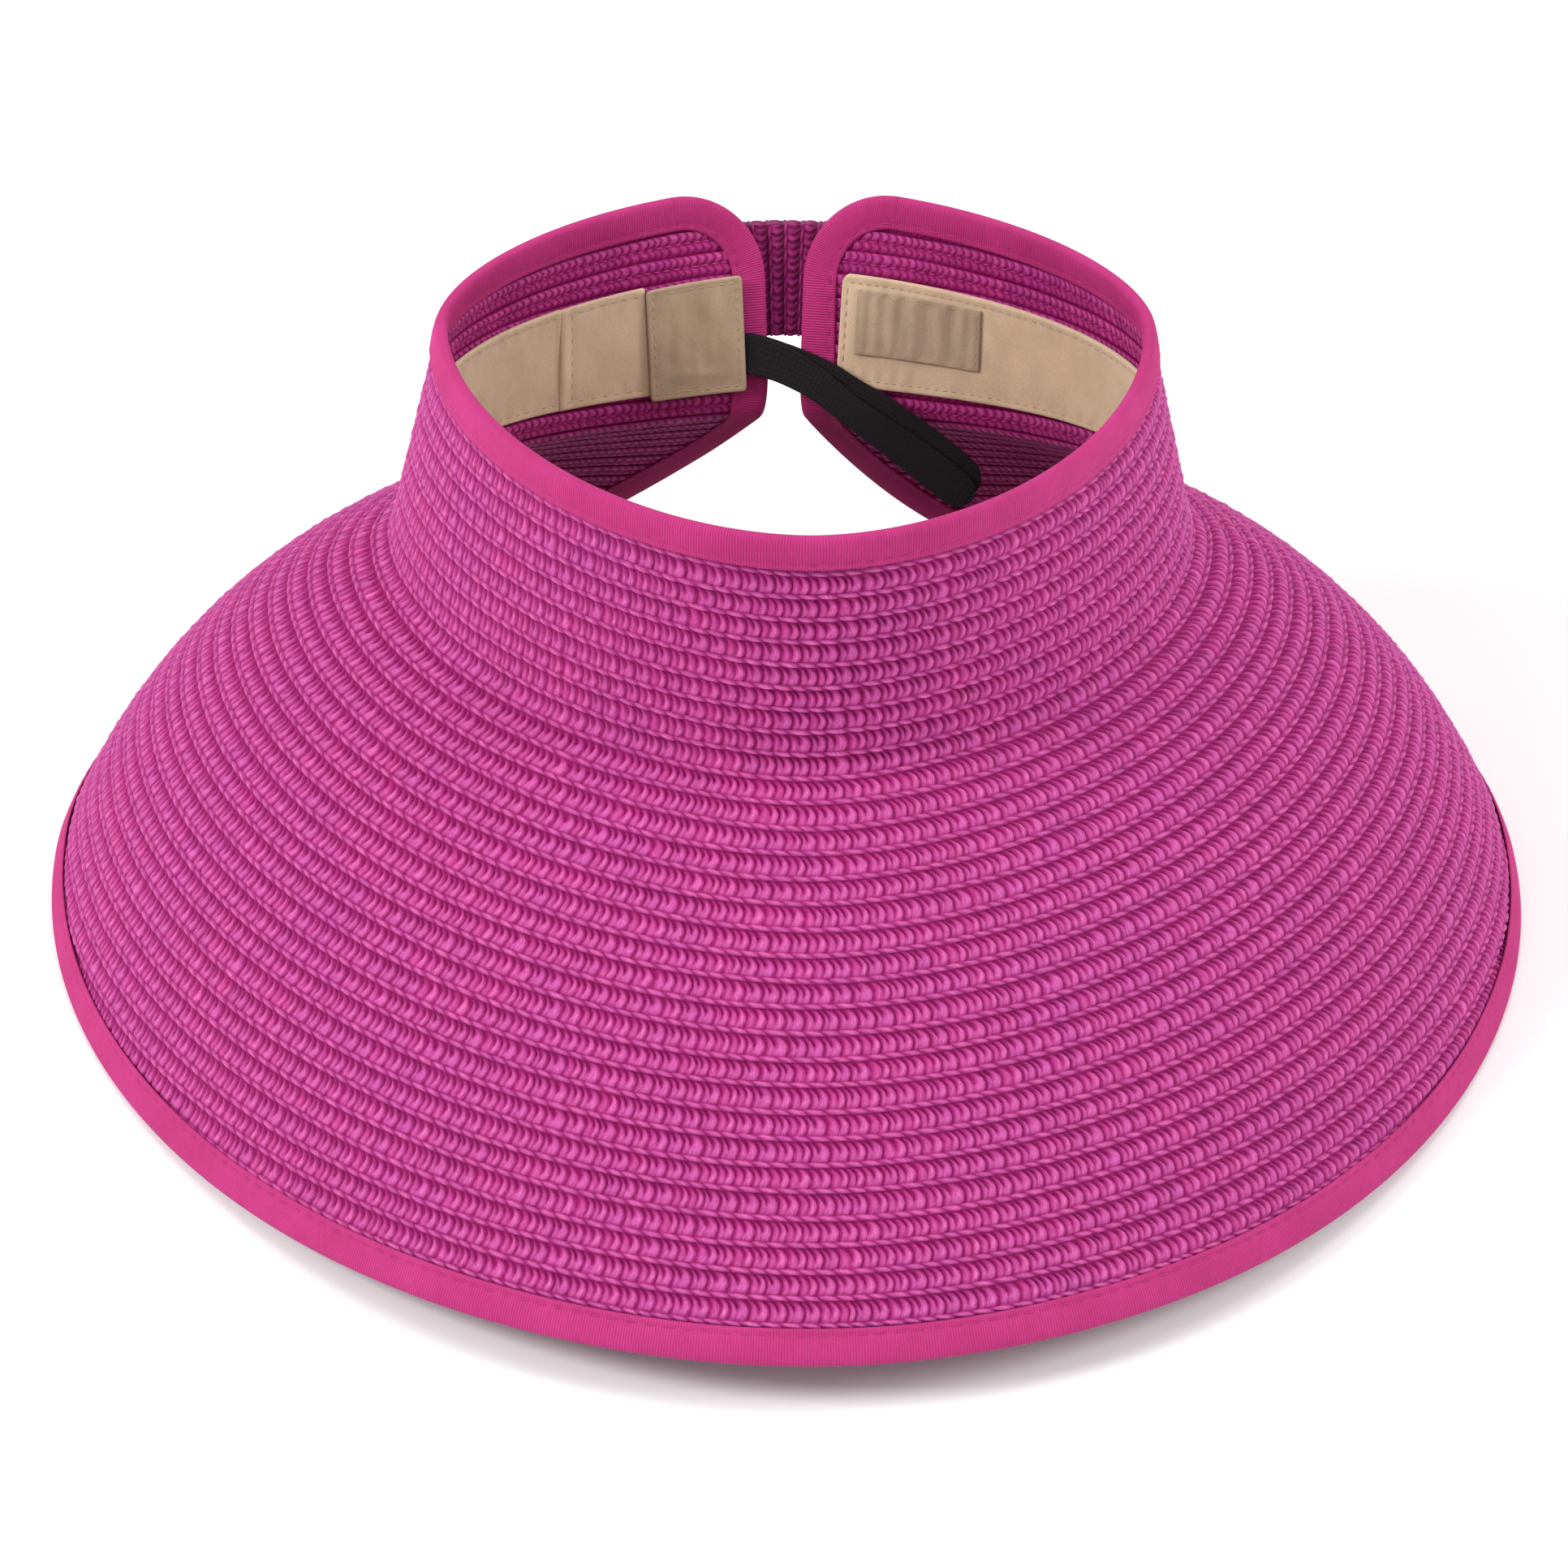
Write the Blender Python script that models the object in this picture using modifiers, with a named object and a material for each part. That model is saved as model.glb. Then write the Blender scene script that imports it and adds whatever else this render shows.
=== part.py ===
# Roll-up braid sun visor: crescent brim and open-backed crown sewn from lapped braid,
# taped edges, cotton sweatband, elastic roll-up loop, bow strap closing the back.
# Metres, +Z up, the visor stands on its brim edge on z = 0 with its front towards -Y.
import bpy, bmesh, math
import numpy as np
from mathutils import Vector
from mathutils.geometry import delaunay_2d_cdt

MM = 0.001
# ---- crown oval (mm, at the crown's top edge) ----
HALF_WIDTH = 86.0
FRONT_DEPTH = 105.77
BACK_DEPTH = 71.52
OVAL_POWER_FRONT = 1.835
OVAL_POWER_BACK = 1.75
# ---- wall and brim slopes, degrees from vertical: front, side, back ----
WALL_SLOPE = (-1.3, 13.11, -16.95)
BRIM_SLOPE_IN = (51.09, 64.05, 50.03)
BRIM_SLOPE_OUT = (38.53, 18.07, -6.67)
QUARTER_SLOPE = -2.08
CROWN_HEIGHT_FRONT, CROWN_HEIGHT_BACK = 63.58, 57.16
FOLD_HALF = 4.93
TOP_FRONT, TOP_BACK = -1.46, 1.45
# ---- outline of the sheet, measured down the surface from the top edge ----
BRIM_LENGTH_FRONT = 140.06
BRIM_LENGTH_BACK = -12.25
OUTLINE_Q, OUTLINE_PE = 0.34, 2.82
END_GAP_HALF = 5.63
TOP_CORNER_R = 24.0
LOW_CORNER_R = {1: 26.95, -1: 13.0}
END_EXTRA = {1: 6.61, -1: -7.47}
# ---- cloth thicknesses (mm) ----
SHEET_T = 1.6
TAPE_OUT, TAPE_IN = 1.6, 1.1
TAPE_WIDTH = 8.5
TAPE_FLOOR = 1.4
SHEET_INSET = 1.75
SEAM_HALF = 0.28
# ---- standing pose: turned about X, then lifted so the brim edge meets z = 0 ----
TILT = math.radians(-5.975)
LIFT = 154.85
SHIFT_X, SHIFT_Y = -0.05, 66.05

for ob in list(bpy.data.objects):
    bpy.data.objects.remove(ob, do_unlink=True)
coll = bpy.data.collections.new("sun_visor")
bpy.context.scene.collection.children.link(coll)


def ease(t):
    t = np.clip(t, 0, 1)
    return t * t * (3 - 2 * t)


def around(phi, v):
    c = np.cos(phi)
    return v[0] * np.where(c > 0, c, 0) ** 2 + v[1] * (1 - c ** 2) + v[2] * np.where(c < 0, c, 0) ** 2


def crown_height(phi):
    return CROWN_HEIGHT_FRONT + (CROWN_HEIGHT_BACK - CROWN_HEIGHT_FRONT) * (1 - np.cos(phi)) / 2


def mid(phi, s):
    """Mid-surface point (mm, crown frame) at bearing phi and distance s down from the top edge."""
    phi = np.asarray(phi, float)
    s = np.asarray(s, float)
    sx, cy = np.sin(phi), -np.cos(phi)
    n = np.where(cy < 0, OVAL_POWER_FRONT, OVAL_POWER_BACK)
    b = np.where(cy < 0, FRONT_DEPTH, BACK_DEPTH)
    r = ((np.abs(sx) / HALF_WIDTH) ** n + (np.abs(cy) / b) ** n) ** (-1 / n)
    x, y = r * sx, r * cy
    gx = np.sign(x) * np.abs(x / HALF_WIDTH) ** (n - 1) / HALF_WIDTH
    gy = np.sign(y) * np.abs(y / b) ** (n - 1) / b
    gl = np.hypot(gx, gy)
    nx, ny = gx / gl, gy / gl
    c = np.cos(phi)
    ac = np.radians(around(phi, WALL_SLOPE))
    a0 = np.radians(around(phi, BRIM_SLOPE_IN))
    a1 = np.radians(around(phi, BRIM_SLOPE_OUT) + QUARTER_SLOPE * np.where(c > 0, np.sin(2 * np.abs(phi)) ** 2, 0))
    hc = crown_height(phi)
    m = 140
    g = np.linspace(0, 1, m)[None, :] * s[:, None]
    t = ease((g - (hc[:, None] - FOLD_HALF)) / (2 * FOLD_HALF))
    u = np.clip((g - hc[:, None]) / BRIM_LENGTH_FRONT, 0, 1)
    ang = ac[:, None] * (1 - t) + (a0[:, None] + (a1 - a0)[:, None] * u) * t
    ds = (s / (m - 1))[:, None]
    out = ((np.sin(ang[:, 1:]) + np.sin(ang[:, :-1])) / 2 * ds).sum(1)
    down = ((np.cos(ang[:, 1:]) + np.cos(ang[:, :-1])) / 2 * ds).sum(1)
    topz = TOP_FRONT * (1 + c) / 2 + TOP_BACK * (1 - c) / 2
    return np.stack([x + nx * out, y + ny * out, topz - down], -1)


def frame_at(phi, s):
    e, f = 0.003, 0.4
    tp = (mid(phi + e, s) - mid(phi - e, s)) / (2 * e)
    ts = (mid(phi, s + f) - mid(phi, np.maximum(s - f, 0))) / (s + f - np.maximum(s - f, 0))[:, None]
    n = np.cross(ts, tp)
    n /= np.linalg.norm(n, axis=1)[:, None]
    return n, tp, ts


def place(p):
    """Crown frame (mm) to the standing frame (metres)."""
    p = np.asarray(p, float)
    ct, st = math.cos(TILT), math.sin(TILT)
    return np.stack([p[:, 0] + SHIFT_X, p[:, 1] * ct - p[:, 2] * st + SHIFT_Y,
                     p[:, 1] * st + p[:, 2] * ct + LIFT], -1) * MM


def skin(phi, s, h):
    """Standing-frame points at height h (mm) outside the mid-surface."""
    phi, s = np.asarray(phi, float), np.asarray(s, float)
    h = np.broadcast_to(np.asarray(h, float), phi.shape)
    n, _, _ = frame_at(phi, s)
    return place(mid(phi, s) + n * h[:, None])


def low_edge(phi, side, end_phi):
    d = (end_phi - phi) * BACK_DEPTH
    g = (1 + np.cos(phi)) / 2
    length = BRIM_LENGTH_BACK + (BRIM_LENGTH_FRONT - BRIM_LENGTH_BACK) * (1 - (1 - g) ** OUTLINE_PE) ** OUTLINE_Q
    r2 = LOW_CORNER_R[side]
    drop = np.where(d < r2, r2 - np.sqrt(np.clip(r2 * r2 - (r2 - d) ** 2, 0, None)), 0)
    return crown_height(phi) + length + END_EXTRA[side] * np.exp(-(d / 55.0) ** 2) - drop


END_PHI = math.pi - math.asin(END_GAP_HALF / BACK_DEPTH)


def half_outline(side):
    """Dense (phi, s) run from the top front centre, round the back end, to the brim front centre."""
    c0 = END_PHI - TOP_CORNER_R / BACK_DEPTH
    a = np.stack([np.linspace(0, c0, 240), np.zeros(240)], 1)
    th = np.linspace(0, math.pi / 2, 30)[1:]
    b = np.stack([END_PHI - TOP_CORNER_R * (1 - np.sin(th)) / BACK_DEPTH, TOP_CORNER_R * (1 - np.cos(th))], 1)
    s_end = float(low_edge(np.array([END_PHI]), side, END_PHI)[0])
    k = np.linspace(TOP_CORNER_R, s_end, 14)[1:]
    c = np.stack([np.full(len(k), END_PHI), k], 1)
    r2 = LOW_CORNER_R[side] / BACK_DEPTH
    th = np.linspace(0, math.pi / 2, 40)[1:]
    p1 = END_PHI - r2 * (1 - np.cos(th))
    p2 = np.linspace(END_PHI - r2, 0, 420)[1:]
    p = np.concatenate([p1, p2])
    d = np.stack([p, low_edge(p, side, END_PHI)], 1)
    q = np.concatenate([a, b, c, d])
    q[:, 0] *= side
    return q


def outline_loop():
    """Closed outline, resampled along its length: finer round the back ends."""
    r, l = half_outline(1), half_outline(-1)
    q = np.concatenate([r, l[::-1][1:-1]])
    q[:, 0] = np.where(q[:, 0] < 0, q[:, 0], q[:, 0])
    closed = np.concatenate([q, q[:1]])
    p = mid(closed[:, 0], closed[:, 1])
    seg = np.linalg.norm(np.diff(p, axis=0), axis=1)
    arc = np.concatenate([[0], np.cumsum(seg)])
    # spacing wanted at each point (mm)
    c = closed
    near = np.abs(np.abs(c[:, 0]) - END_PHI) * BACK_DEPTH
    step = np.where(near < 34, 3.4, 10.5)
    step = np.where((near < 34) & (c[:, 1] < 1e-6), 5.0, step)
    dens = 1 / step
    cum = np.concatenate([[0], np.cumsum(seg * (dens[1:] + dens[:-1]) / 2)])
    n = int(round(cum[-1]))
    want = np.arange(n) * cum[-1] / n
    at = np.interp(want, cum, arc)
    phi = np.interp(at, arc, closed[:, 0])
    s = np.interp(at, arc, closed[:, 1])
    return phi, s, at, arc[-1]


LOOP_PHI, LOOP_S, LOOP_AT, LOOP_LEN = outline_loop()
_n, _tp, _ts = frame_at(LOOP_PHI, LOOP_S)
_p = mid(LOOP_PHI, LOOP_S)
_t = np.roll(_p, -1, 0) - np.roll(_p, 1, 0)
_t /= np.linalg.norm(_t, axis=1)[:, None]
_m = np.cross(_t, _n)
if (_m[0] * _ts[0]).sum() < 0:
    _m = -_m
# inward step in (phi, s) for one millimetre in the surface
_g11, _g12, _g22 = (_tp * _tp).sum(1), (_tp * _ts).sum(1), (_ts * _ts).sum(1)
_b1, _b2 = (_m * _tp).sum(1), (_m * _ts).sum(1)
_det = _g11 * _g22 - _g12 ** 2
IN_PHI = (_b1 * _g22 - _b2 * _g12) / _det
IN_S = (_b2 * _g11 - _b1 * _g12) / _det


def inset(w):
    return LOOP_PHI + IN_PHI * w, np.maximum(LOOP_S + IN_S * w, 0)


def material(name, rgb, rough, metallic=0.0):
    m = bpy.data.materials.get(name) or bpy.data.materials.new(name)
    m.use_nodes = True
    b = m.node_tree.nodes["Principled BSDF"]
    b.inputs["Base Color"].default_value = (*rgb, 1)
    b.inputs["Roughness"].default_value = rough
    b.inputs["Metallic"].default_value = metallic
    return m


BRAID = material("magenta_braid", (0.62, 0.07, 0.33), 0.7)
TAPE = material("pink_ribbed_tape", (0.76, 0.08, 0.32), 0.8)
COTTON = material("beige_cotton", (0.56, 0.43, 0.28), 0.9)
LABEL = material("blank_label", (0.60, 0.48, 0.33), 0.85)
ELASTIC = material("black_elastic", (0.015, 0.013, 0.016), 0.75)
HOOK = material("hook_tape", (0.50, 0.07, 0.27), 0.85)


def add(name, bm, mat, origin=None, solid=None):
    bmesh.ops.recalc_face_normals(bm, faces=bm.faces)
    me = bpy.data.meshes.new(name)
    bm.to_mesh(me)
    bm.free()
    ob = bpy.data.objects.new(name, me)
    coll.objects.link(ob)
    me.materials.append(mat)
    if origin is not None:
        o = Vector(origin)
        for v in me.vertices:
            v.co -= o
        ob.location = o
    if solid:
        md = ob.modifiers.new("cloth", "SOLIDIFY")
        md.thickness = solid * MM
        md.offset = 0
        md.use_even_offset = False
        md.use_quality_normals = True
    return ob


def cloth(name, loop, h, thick, mat, dphi=6.0, rows=None, clear=3.2, origin=None, extra=()):
    """Flat cloth cut to a closed (phi, s) outline and laid on the surface at height h, then thickened."""
    loop = np.asarray(loop, float)
    scale = 80.0
    poly = np.stack([loop[:, 0] * scale, loop[:, 1]], 1)
    lo, hi = loop.min(0), loop.max(0)
    step = math.radians(dphi)
    cols = np.arange(math.floor(lo[0] / step), math.ceil(hi[0] / step) + 1) * step
    if rows is None:
        rows = lambda p: np.arange(lo[1] + 6, hi[1] - 4, 9.0)
    pts, kept = [], 0
    a, b = poly, np.roll(poly, -1, 0)
    ab = b - a
    l2 = (ab ** 2).sum(1) + 1e-12
    wish = [(p, s, 2.0) for p, s in extra] + [(p, s, clear) for p in cols for s in rows(p)]
    for p, s, room in wish:
            q = np.array([p * scale, s])
            if room == clear and any(abs(q[1] - e[1]) < 4.5 and abs(q[0] - e[0]) < 5.0 for e in pts[:kept]):
                continue
            cross = ((a[:, 1] > q[1]) != (b[:, 1] > q[1])) & (
                q[0] < (b[:, 0] - a[:, 0]) * (q[1] - a[:, 1]) / (b[:, 1] - a[:, 1] + 1e-12) + a[:, 0])
            if cross.sum() % 2 == 0:
                continue
            t = np.clip(((q - a) * ab).sum(1) / l2, 0, 1)
            if np.sqrt(((q - a - t[:, None] * ab) ** 2).sum(1)).min() < room:
                continue
            pts.append(q)
            if room != clear:
                kept = len(pts)
    allp = np.concatenate([poly, np.array(pts).reshape(-1, 2)])
    n = len(poly)
    verts, _, faces, *_ = delaunay_2d_cdt([Vector(v) for v in allp], [(i, (i + 1) % n) for i in range(n)], [], 1, 1e-6)
    v = np.array([[q.x / scale, q.y] for q in verts])
    hh = h(v[:, 0]) if callable(h) else h
    w = skin(v[:, 0], v[:, 1], hh)
    bm = bmesh.new()
    bv = [bm.verts.new(x) for x in w]
    for f in faces:
        bm.faces.new([bv[i] for i in f])
    loose = [x for x in bm.verts if not x.link_faces]
    bmesh.ops.delete(bm, geom=loose, context="VERTS")
    return add(name, bm, mat, origin, thick)


def box_loop(p0, p1, s0, s1, r=2.5, dphi=5.0):
    """Rounded rectangle in (phi in degrees, s in mm); s0 and s1 may be functions of phi in radians."""
    f0 = s0 if callable(s0) else (lambda p: np.full_like(p, s0))
    f1 = s1 if callable(s1) else (lambda p: np.full_like(p, s1))
    a, b = math.radians(p0), math.radians(p1)
    rp = r / 74.0
    st = math.radians(dphi)
    u = np.arange(math.ceil((a + rp) / st), math.floor((b - rp) / st) + 1) * st
    u = u[(u > a + rp + 0.3 * st) & (u < b - rp - 0.3 * st)]
    u = np.concatenate([[a + rp], u, [b - rp]])
    th = np.linspace(0, math.pi / 2, 4)[1:-1]
    out = [np.stack([u, f0(u)], 1)]
    arc = np.stack([b - rp * (1 - np.sin(th)), f0(np.full(2, b)) + r * (1 - np.cos(th))], 1)
    out.append(arc)
    e = np.array([b, b])
    out.append(np.stack([e, np.array([f0(e)[0] + r, f1(e)[0] - r])], 1))
    out.append(np.stack([b - rp * (1 - np.cos(th)), f1(np.full(2, b)) - r * (1 - np.sin(th))], 1))
    out.append(np.stack([u[::-1], f1(u[::-1])], 1))
    out.append(np.stack([a + rp * (1 - np.sin(th)), f1(np.full(2, a)) - r * (1 - np.cos(th))], 1))
    e = np.array([a, a])
    out.append(np.stack([e, np.array([f1(e)[0] - r, f0(e)[0] + r])], 1))
    out.append(np.stack([a + rp * (1 - np.cos(th)), f0(np.full(2, a)) + r * (1 - np.sin(th))], 1))
    return np.concatenate(out)


# ------------------------------------------------------------ the braid sheet
def split_loop(part):
    """Outline of the crown (part = -1) or the brim (part = +1) inside the tape, cut at the fold."""
    phi, s = inset(SHEET_INSET)
    cut = crown_height(phi) + part * SEAM_HALF
    keep = (s - cut) * part > 0
    n = len(phi)
    out = []
    for i in range(n):
        j = (i + 1) % n
        if keep[i]:
            out.append((phi[i], s[i]))
        if keep[i] != keep[j]:
            t = (cut[i] - s[i]) / ((s[j] - s[i]) - (cut[j] - cut[i]))
            out.append((phi[i] + (phi[j] - phi[i]) * t, s[i] + (s[j] - s[i]) * t, 1))
    cr = [i for i, q in enumerate(out) if len(q) == 3]
    # order the run so it starts after one crossing and ends at the other, then close along the fold
    pts = [q[:2] for q in out]
    a, b = cr
    run = pts[b:] + pts[:a + 1] if part < 0 else pts[a:b + 1]
    p0, p1 = run[-1][0], run[0][0]
    st = math.radians(5.0)
    back = np.arange(math.ceil(min(p0, p1) / st), math.floor(max(p0, p1) / st) + 1) * st
    back = back[(np.abs(back - p0) > 0.02) & (np.abs(back - p1) > 0.02)]
    back = back if p1 > p0 else back[::-1]
    return np.concatenate([np.array(run), np.stack([back, crown_height(back) + part * SEAM_HALF], 1)])


def crown_rows(p):
    h = float(crown_height(np.array([p]))[0])
    return np.concatenate([np.arange(19.0, h - 9, 10.0), [h - 5.2, h - 2.8]])


def brim_rows(p):
    h = float(crown_height(np.array([p]))[0])
    return np.concatenate([[h + 2.8, h + 5.2], np.arange(h + 12, 215, 12.0)])


def by_the_tape(part):
    phi, s = inset(TAPE_WIDTH + 0.8)
    k = (s - crown_height(phi)) * part > 4
    return list(zip(phi[k], s[k]))


cloth("crown_braid", split_loop(-1), 0.0, SHEET_T, BRAID, 5.0, crown_rows, 2.2, extra=by_the_tape(-1))
cloth("brim_braid", split_loop(1), 0.0, SHEET_T, BRAID, 5.0, brim_rows, 2.2, extra=by_the_tape(1))


# ------------------------------------------------------------ edge tape, folded over the sheet's edge
def tape(name, i0, i1, mids):
    """U-shaped tape along outline samples i0..i1 (wrapping), half a clearance short at each end."""
    n = len(LOOP_PHI)
    idx = [(i0 + k) % n for k in range((i1 - i0) % n + 1)]
    o = [(TAPE_WIDTH, TAPE_OUT), (0.6, TAPE_OUT), (0.0, 0.8), (0.0, -0.8), (0.6, -TAPE_OUT), (TAPE_WIDTH, -TAPE_OUT)]
    q = [(TAPE_WIDTH, TAPE_IN), (TAPE_FLOOR, TAPE_IN), (TAPE_FLOOR, 0.4), (TAPE_FLOOR, -0.4), (TAPE_FLOOR, -TAPE_IN), (TAPE_WIDTH, -TAPE_IN)]
    if mids:
        o = [o[0], (4.5, TAPE_OUT)] + o[1:5] + [(4.5, -TAPE_OUT), o[5]]
        q = [q[0], (4.5, TAPE_IN)] + q[1:5] + [(4.5, -TAPE_IN), q[5]]
    bm = bmesh.new()
    rows = []
    for j, i in enumerate(idx):
        p, s, ip, is_ = LOOP_PHI[i], LOOP_S[i], IN_PHI[i], IN_S[i]
        if j == 0 or j == len(idx) - 1:
            # pull the cut ends back by half the clearance
            k = idx[1] if j == 0 else idx[-2]
            gap = 0.16 / max(1e-6, float(np.linalg.norm(_p[k] - _p[i])))
            dp = (LOOP_PHI[k] - p)
            p, s = p + dp * gap, s + (LOOP_S[k] - s) * gap
        ring = o + q[::-1]
        pp = np.array([p + ip * d for d, h in ring])
        ss = np.array([max(s + is_ * d, 0.0) for d, h in ring])
        w = skin(pp, ss, np.array([h for d, h in ring]))
        w[:, 2] = np.maximum(w[:, 2], 0.0)
        rows.append([bm.verts.new(x) for x in w])
    m = len(rows[0])
    for a, b in zip(rows[:-1], rows[1:]):
        for k in range(m):
            l = (k + 1) % m
            bm.faces.new([a[k], a[l], b[l], b[k]])
    half = m // 2
    for r in (rows[0], rows[-1]):
        for k in range(half - 1):
            bm.faces.new([r[k], r[k + 1], r[m - 2 - k], r[m - 1 - k]])
    return add(name, bm, TAPE)


def loop_index(phi_deg, upper):
    c = np.abs(np.degrees(LOOP_PHI) - phi_deg) + np.where((LOOP_S < 30) == upper, 0, 1e3)
    return int(np.argmin(c))


TOP_CUT = math.degrees(END_PHI - TOP_CORNER_R / BACK_DEPTH)
LOW_CUT = 150.0
iR0, iR1 = loop_index(TOP_CUT, True), loop_index(LOW_CUT, False)
iL0, iL1 = loop_index(-LOW_CUT, False), loop_index(-TOP_CUT, True)
tape("top_binding", iL1, iR0, False)
tape("end_binding_right", iR0, iR1, True)
tape("brim_binding", iR1, iL0, False)
tape("end_binding_left", iL0, iL1, True)

# ------------------------------------------------------------ sweatband, inside the crown
BAND_H = -1.95
band_top = lambda p: 22.5 + 1.5 * np.cos(p)
band_low = lambda p: 50.5 + 3.0 * np.cos(p) ** 2 * (np.cos(p) > 0)
# bearings run clockwise seen from above, 0 at the front; the open back is at 180
cloth("sweatband", box_loop(-129.8, 166.6, band_top, band_low, 3.0), BAND_H, 1.2, COTTON, 5.0, lambda p: [31.0, 41.0])
cloth("sweatband_left_panel", box_loop(-148.2, -130.2, band_top, band_low, 0.8), BAND_H, 1.2, COTTON, 5.0, lambda p: [31.0, 41.0])
cloth("sweatband_end_patch", box_loop(-169.8, -148.0, lambda p: band_top(p) + 0.6, lambda p: band_low(p) + 1.2, 1.5), -3.55, 0.9, COTTON, 6.0, lambda p: [31.0, 41.0])
cloth("size_label", box_loop(136.0, 163.0, 24.4, 41.6, 0.8), -3.15, 0.5, LABEL, 6.0, lambda p: [33.0])
cloth("elastic_sewn_end", box_loop(-167.4, -153.0, 35.6, 49.2, 0.6), -2.35, 0.9, ELASTIC, 6.0, lambda p: [42.4])

# ------------------------------------------------------------ elastic roll-up loop
# Hangs from its sewn end across the open back: a doubled flat strap (mm, crown frame).
STRAP_RUN = ((-8.9, 54.9, -39.0), (-3.6, 54.2, -39.6), (3.6, 53.0, -41.4), (9.8, 51.3, -44.4), (16.1, 49.4, -48.5),
             (25.4, 47.0, -54.5), (35.9, 45.0, -62.3), (45.0, 43.6, -69.6), (49.0, 43.1, -72.6))
STRAP_WIDTH = (13.0, 12.4, 11.8, 10.6, 9.6, 10.6, 12.4, 11.6, 5.0)
STRAP_T = 2.4
FACE = np.array([0.0, -0.85, 0.53])
HINGE_ELASTIC = skin([math.radians(190.0)], [42.4], [-4.6])[0]
HINGE_STRAP = skin([math.radians(222.5)], [24.5], [1.7])[0]


def spline(pts, n):
    p = np.asarray(pts, float)
    k = np.arange(len(p))
    e = np.concatenate([[2 * p[0] - p[1]], p, [2 * p[-1] - p[-2]]])
    t = np.linspace(0, len(p) - 1, n)
    i = np.minimum(t.astype(int), len(p) - 2)
    f = (t - i)
    f = f[:, None] if p.ndim > 1 else f
    a, b, c, d = e[i], e[i + 1], e[i + 2], e[i + 3]
    return 0.5 * (2 * b + (c - a) * f + (2 * a - 5 * b + 4 * c - d) * f ** 2 + (3 * b - a - 3 * c + d) * f ** 3)


def elastic():
    n = 25
    c = spline(STRAP_RUN, n)
    w = spline(STRAP_WIDTH, n)
    t = np.gradient(c, axis=0)
    t /= np.linalg.norm(t, axis=1)[:, None]
    start = np.array([0.0, -0.957, 0.29])
    blend = ease(np.linspace(0, 1, n) / 0.3)[:, None]
    wid = np.cross(start * (1 - blend) + FACE * blend, t)
    wid /= np.linalg.norm(wid, axis=1)[:, None]
    nor = np.cross(t, wid)
    bm = bmesh.new()
    rows = []
    for i in range(n):
        a, b = w[i] / 2, STRAP_T / 2 * (1 if i < n - 1 else 0.6)
        sec = [(-a, -b * 0.6), (-a + 0.8, -b), (a - 0.8, -b), (a, -b * 0.6), (a, b * 0.6), (a - 0.8, b), (-a + 0.8, b), (-a, b * 0.6)]
        q = np.array([c[i] + wid[i] * x + nor[i] * y for x, y in sec])
        rows.append([bm.verts.new(v) for v in place(q)])
    for a, b in zip(rows[:-1], rows[1:]):
        for k in range(8):
            bm.faces.new([a[k], a[(k + 1) % 8], b[(k + 1) % 8], b[k]])
    bm.faces.new(rows[0])
    bm.faces.new(rows[-1])
    return add("elastic_loop", bm, ELASTIC, HINGE_ELASTIC)


elastic()

# ------------------------------------------------------------ closure across the open back
STRAP_S0, STRAP_S1 = 13.0, 36.0
cloth("closure_loop_patch", box_loop(137.0, 163.4, 14.0, 36.5, 2.0), 1.55, 0.9, HOOK, 6.0, lambda p: [24.5])
cloth("closure_hook_patch", box_loop(139.0, 163.0, 14.6, 35.4, 2.0), 2.86, 1.1, HOOK, 6.0, lambda p: [24.5], origin=HINGE_STRAP)
cloth("closure_strap_base", box_loop(223.6, 235.0, STRAP_S0, STRAP_S1, 1.5, 4.0), 1.7, 1.2, BRAID, 5.0, lambda p: [24.5])
STRAP_LIFT = lambda p: 1.7 + 2.6 * ease((math.radians(221.6) - p) / math.radians(8.0))
cloth("closure_strap", box_loop(138.0, 221.5, STRAP_S0, STRAP_S1, 2.0, 2.8), STRAP_LIFT, 1.2, BRAID, 2.8, lambda p: [24.5], origin=HINGE_STRAP)

# bow: two flattened loops pinched inside a wrapped knot
KNOT_HALF = math.radians(10.6)
LOBE_REACH = math.radians(40.5)
LOBE_S = 24.7


def lobe(name, side):
    n, m = 15, 16
    bm = bmesh.new()
    rows = []
    for i in range(n):
        u = i / (n - 1)
        ang = math.radians(0.35) + u * (LOBE_REACH - math.radians(0.35))
        k = ease(np.array((ang - KNOT_HALF) / math.radians(15)))
        tip = math.sqrt(max(0.0, 1 - max(0.0, (u - 0.72) / 0.28) ** 2 * 0.92))
        half_s = (11.4 + 3.4 * k) * (0.55 + 0.45 * tip)
        half_h = (2.3 + 2.4 * k) * tip
        h0 = 7.55 + 2.5 * k
        th = np.arange(m) * 2 * math.pi / m
        ds = half_s * np.sign(np.cos(th)) * np.abs(np.cos(th)) ** 0.7
        dh = half_h * np.sign(np.sin(th)) * np.abs(np.sin(th)) ** 0.7
        phi = np.full(m, math.pi + side * ang)
        rows.append([bm.verts.new(x) for x in skin(phi, LOBE_S + ds, h0 + dh)])
    for a, b in zip(rows[:-1], rows[1:]):
        for k in range(m):
            bm.faces.new([a[k], a[(k + 1) % m], b[(k + 1) % m], b[k]])
    bm.faces.new(rows[0])
    bm.faces.new(rows[-1])
    return add(name, bm, BRAID, HINGE_STRAP)


lobe("bow_loop_left", 1)
lobe("bow_loop_right", -1)


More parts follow.
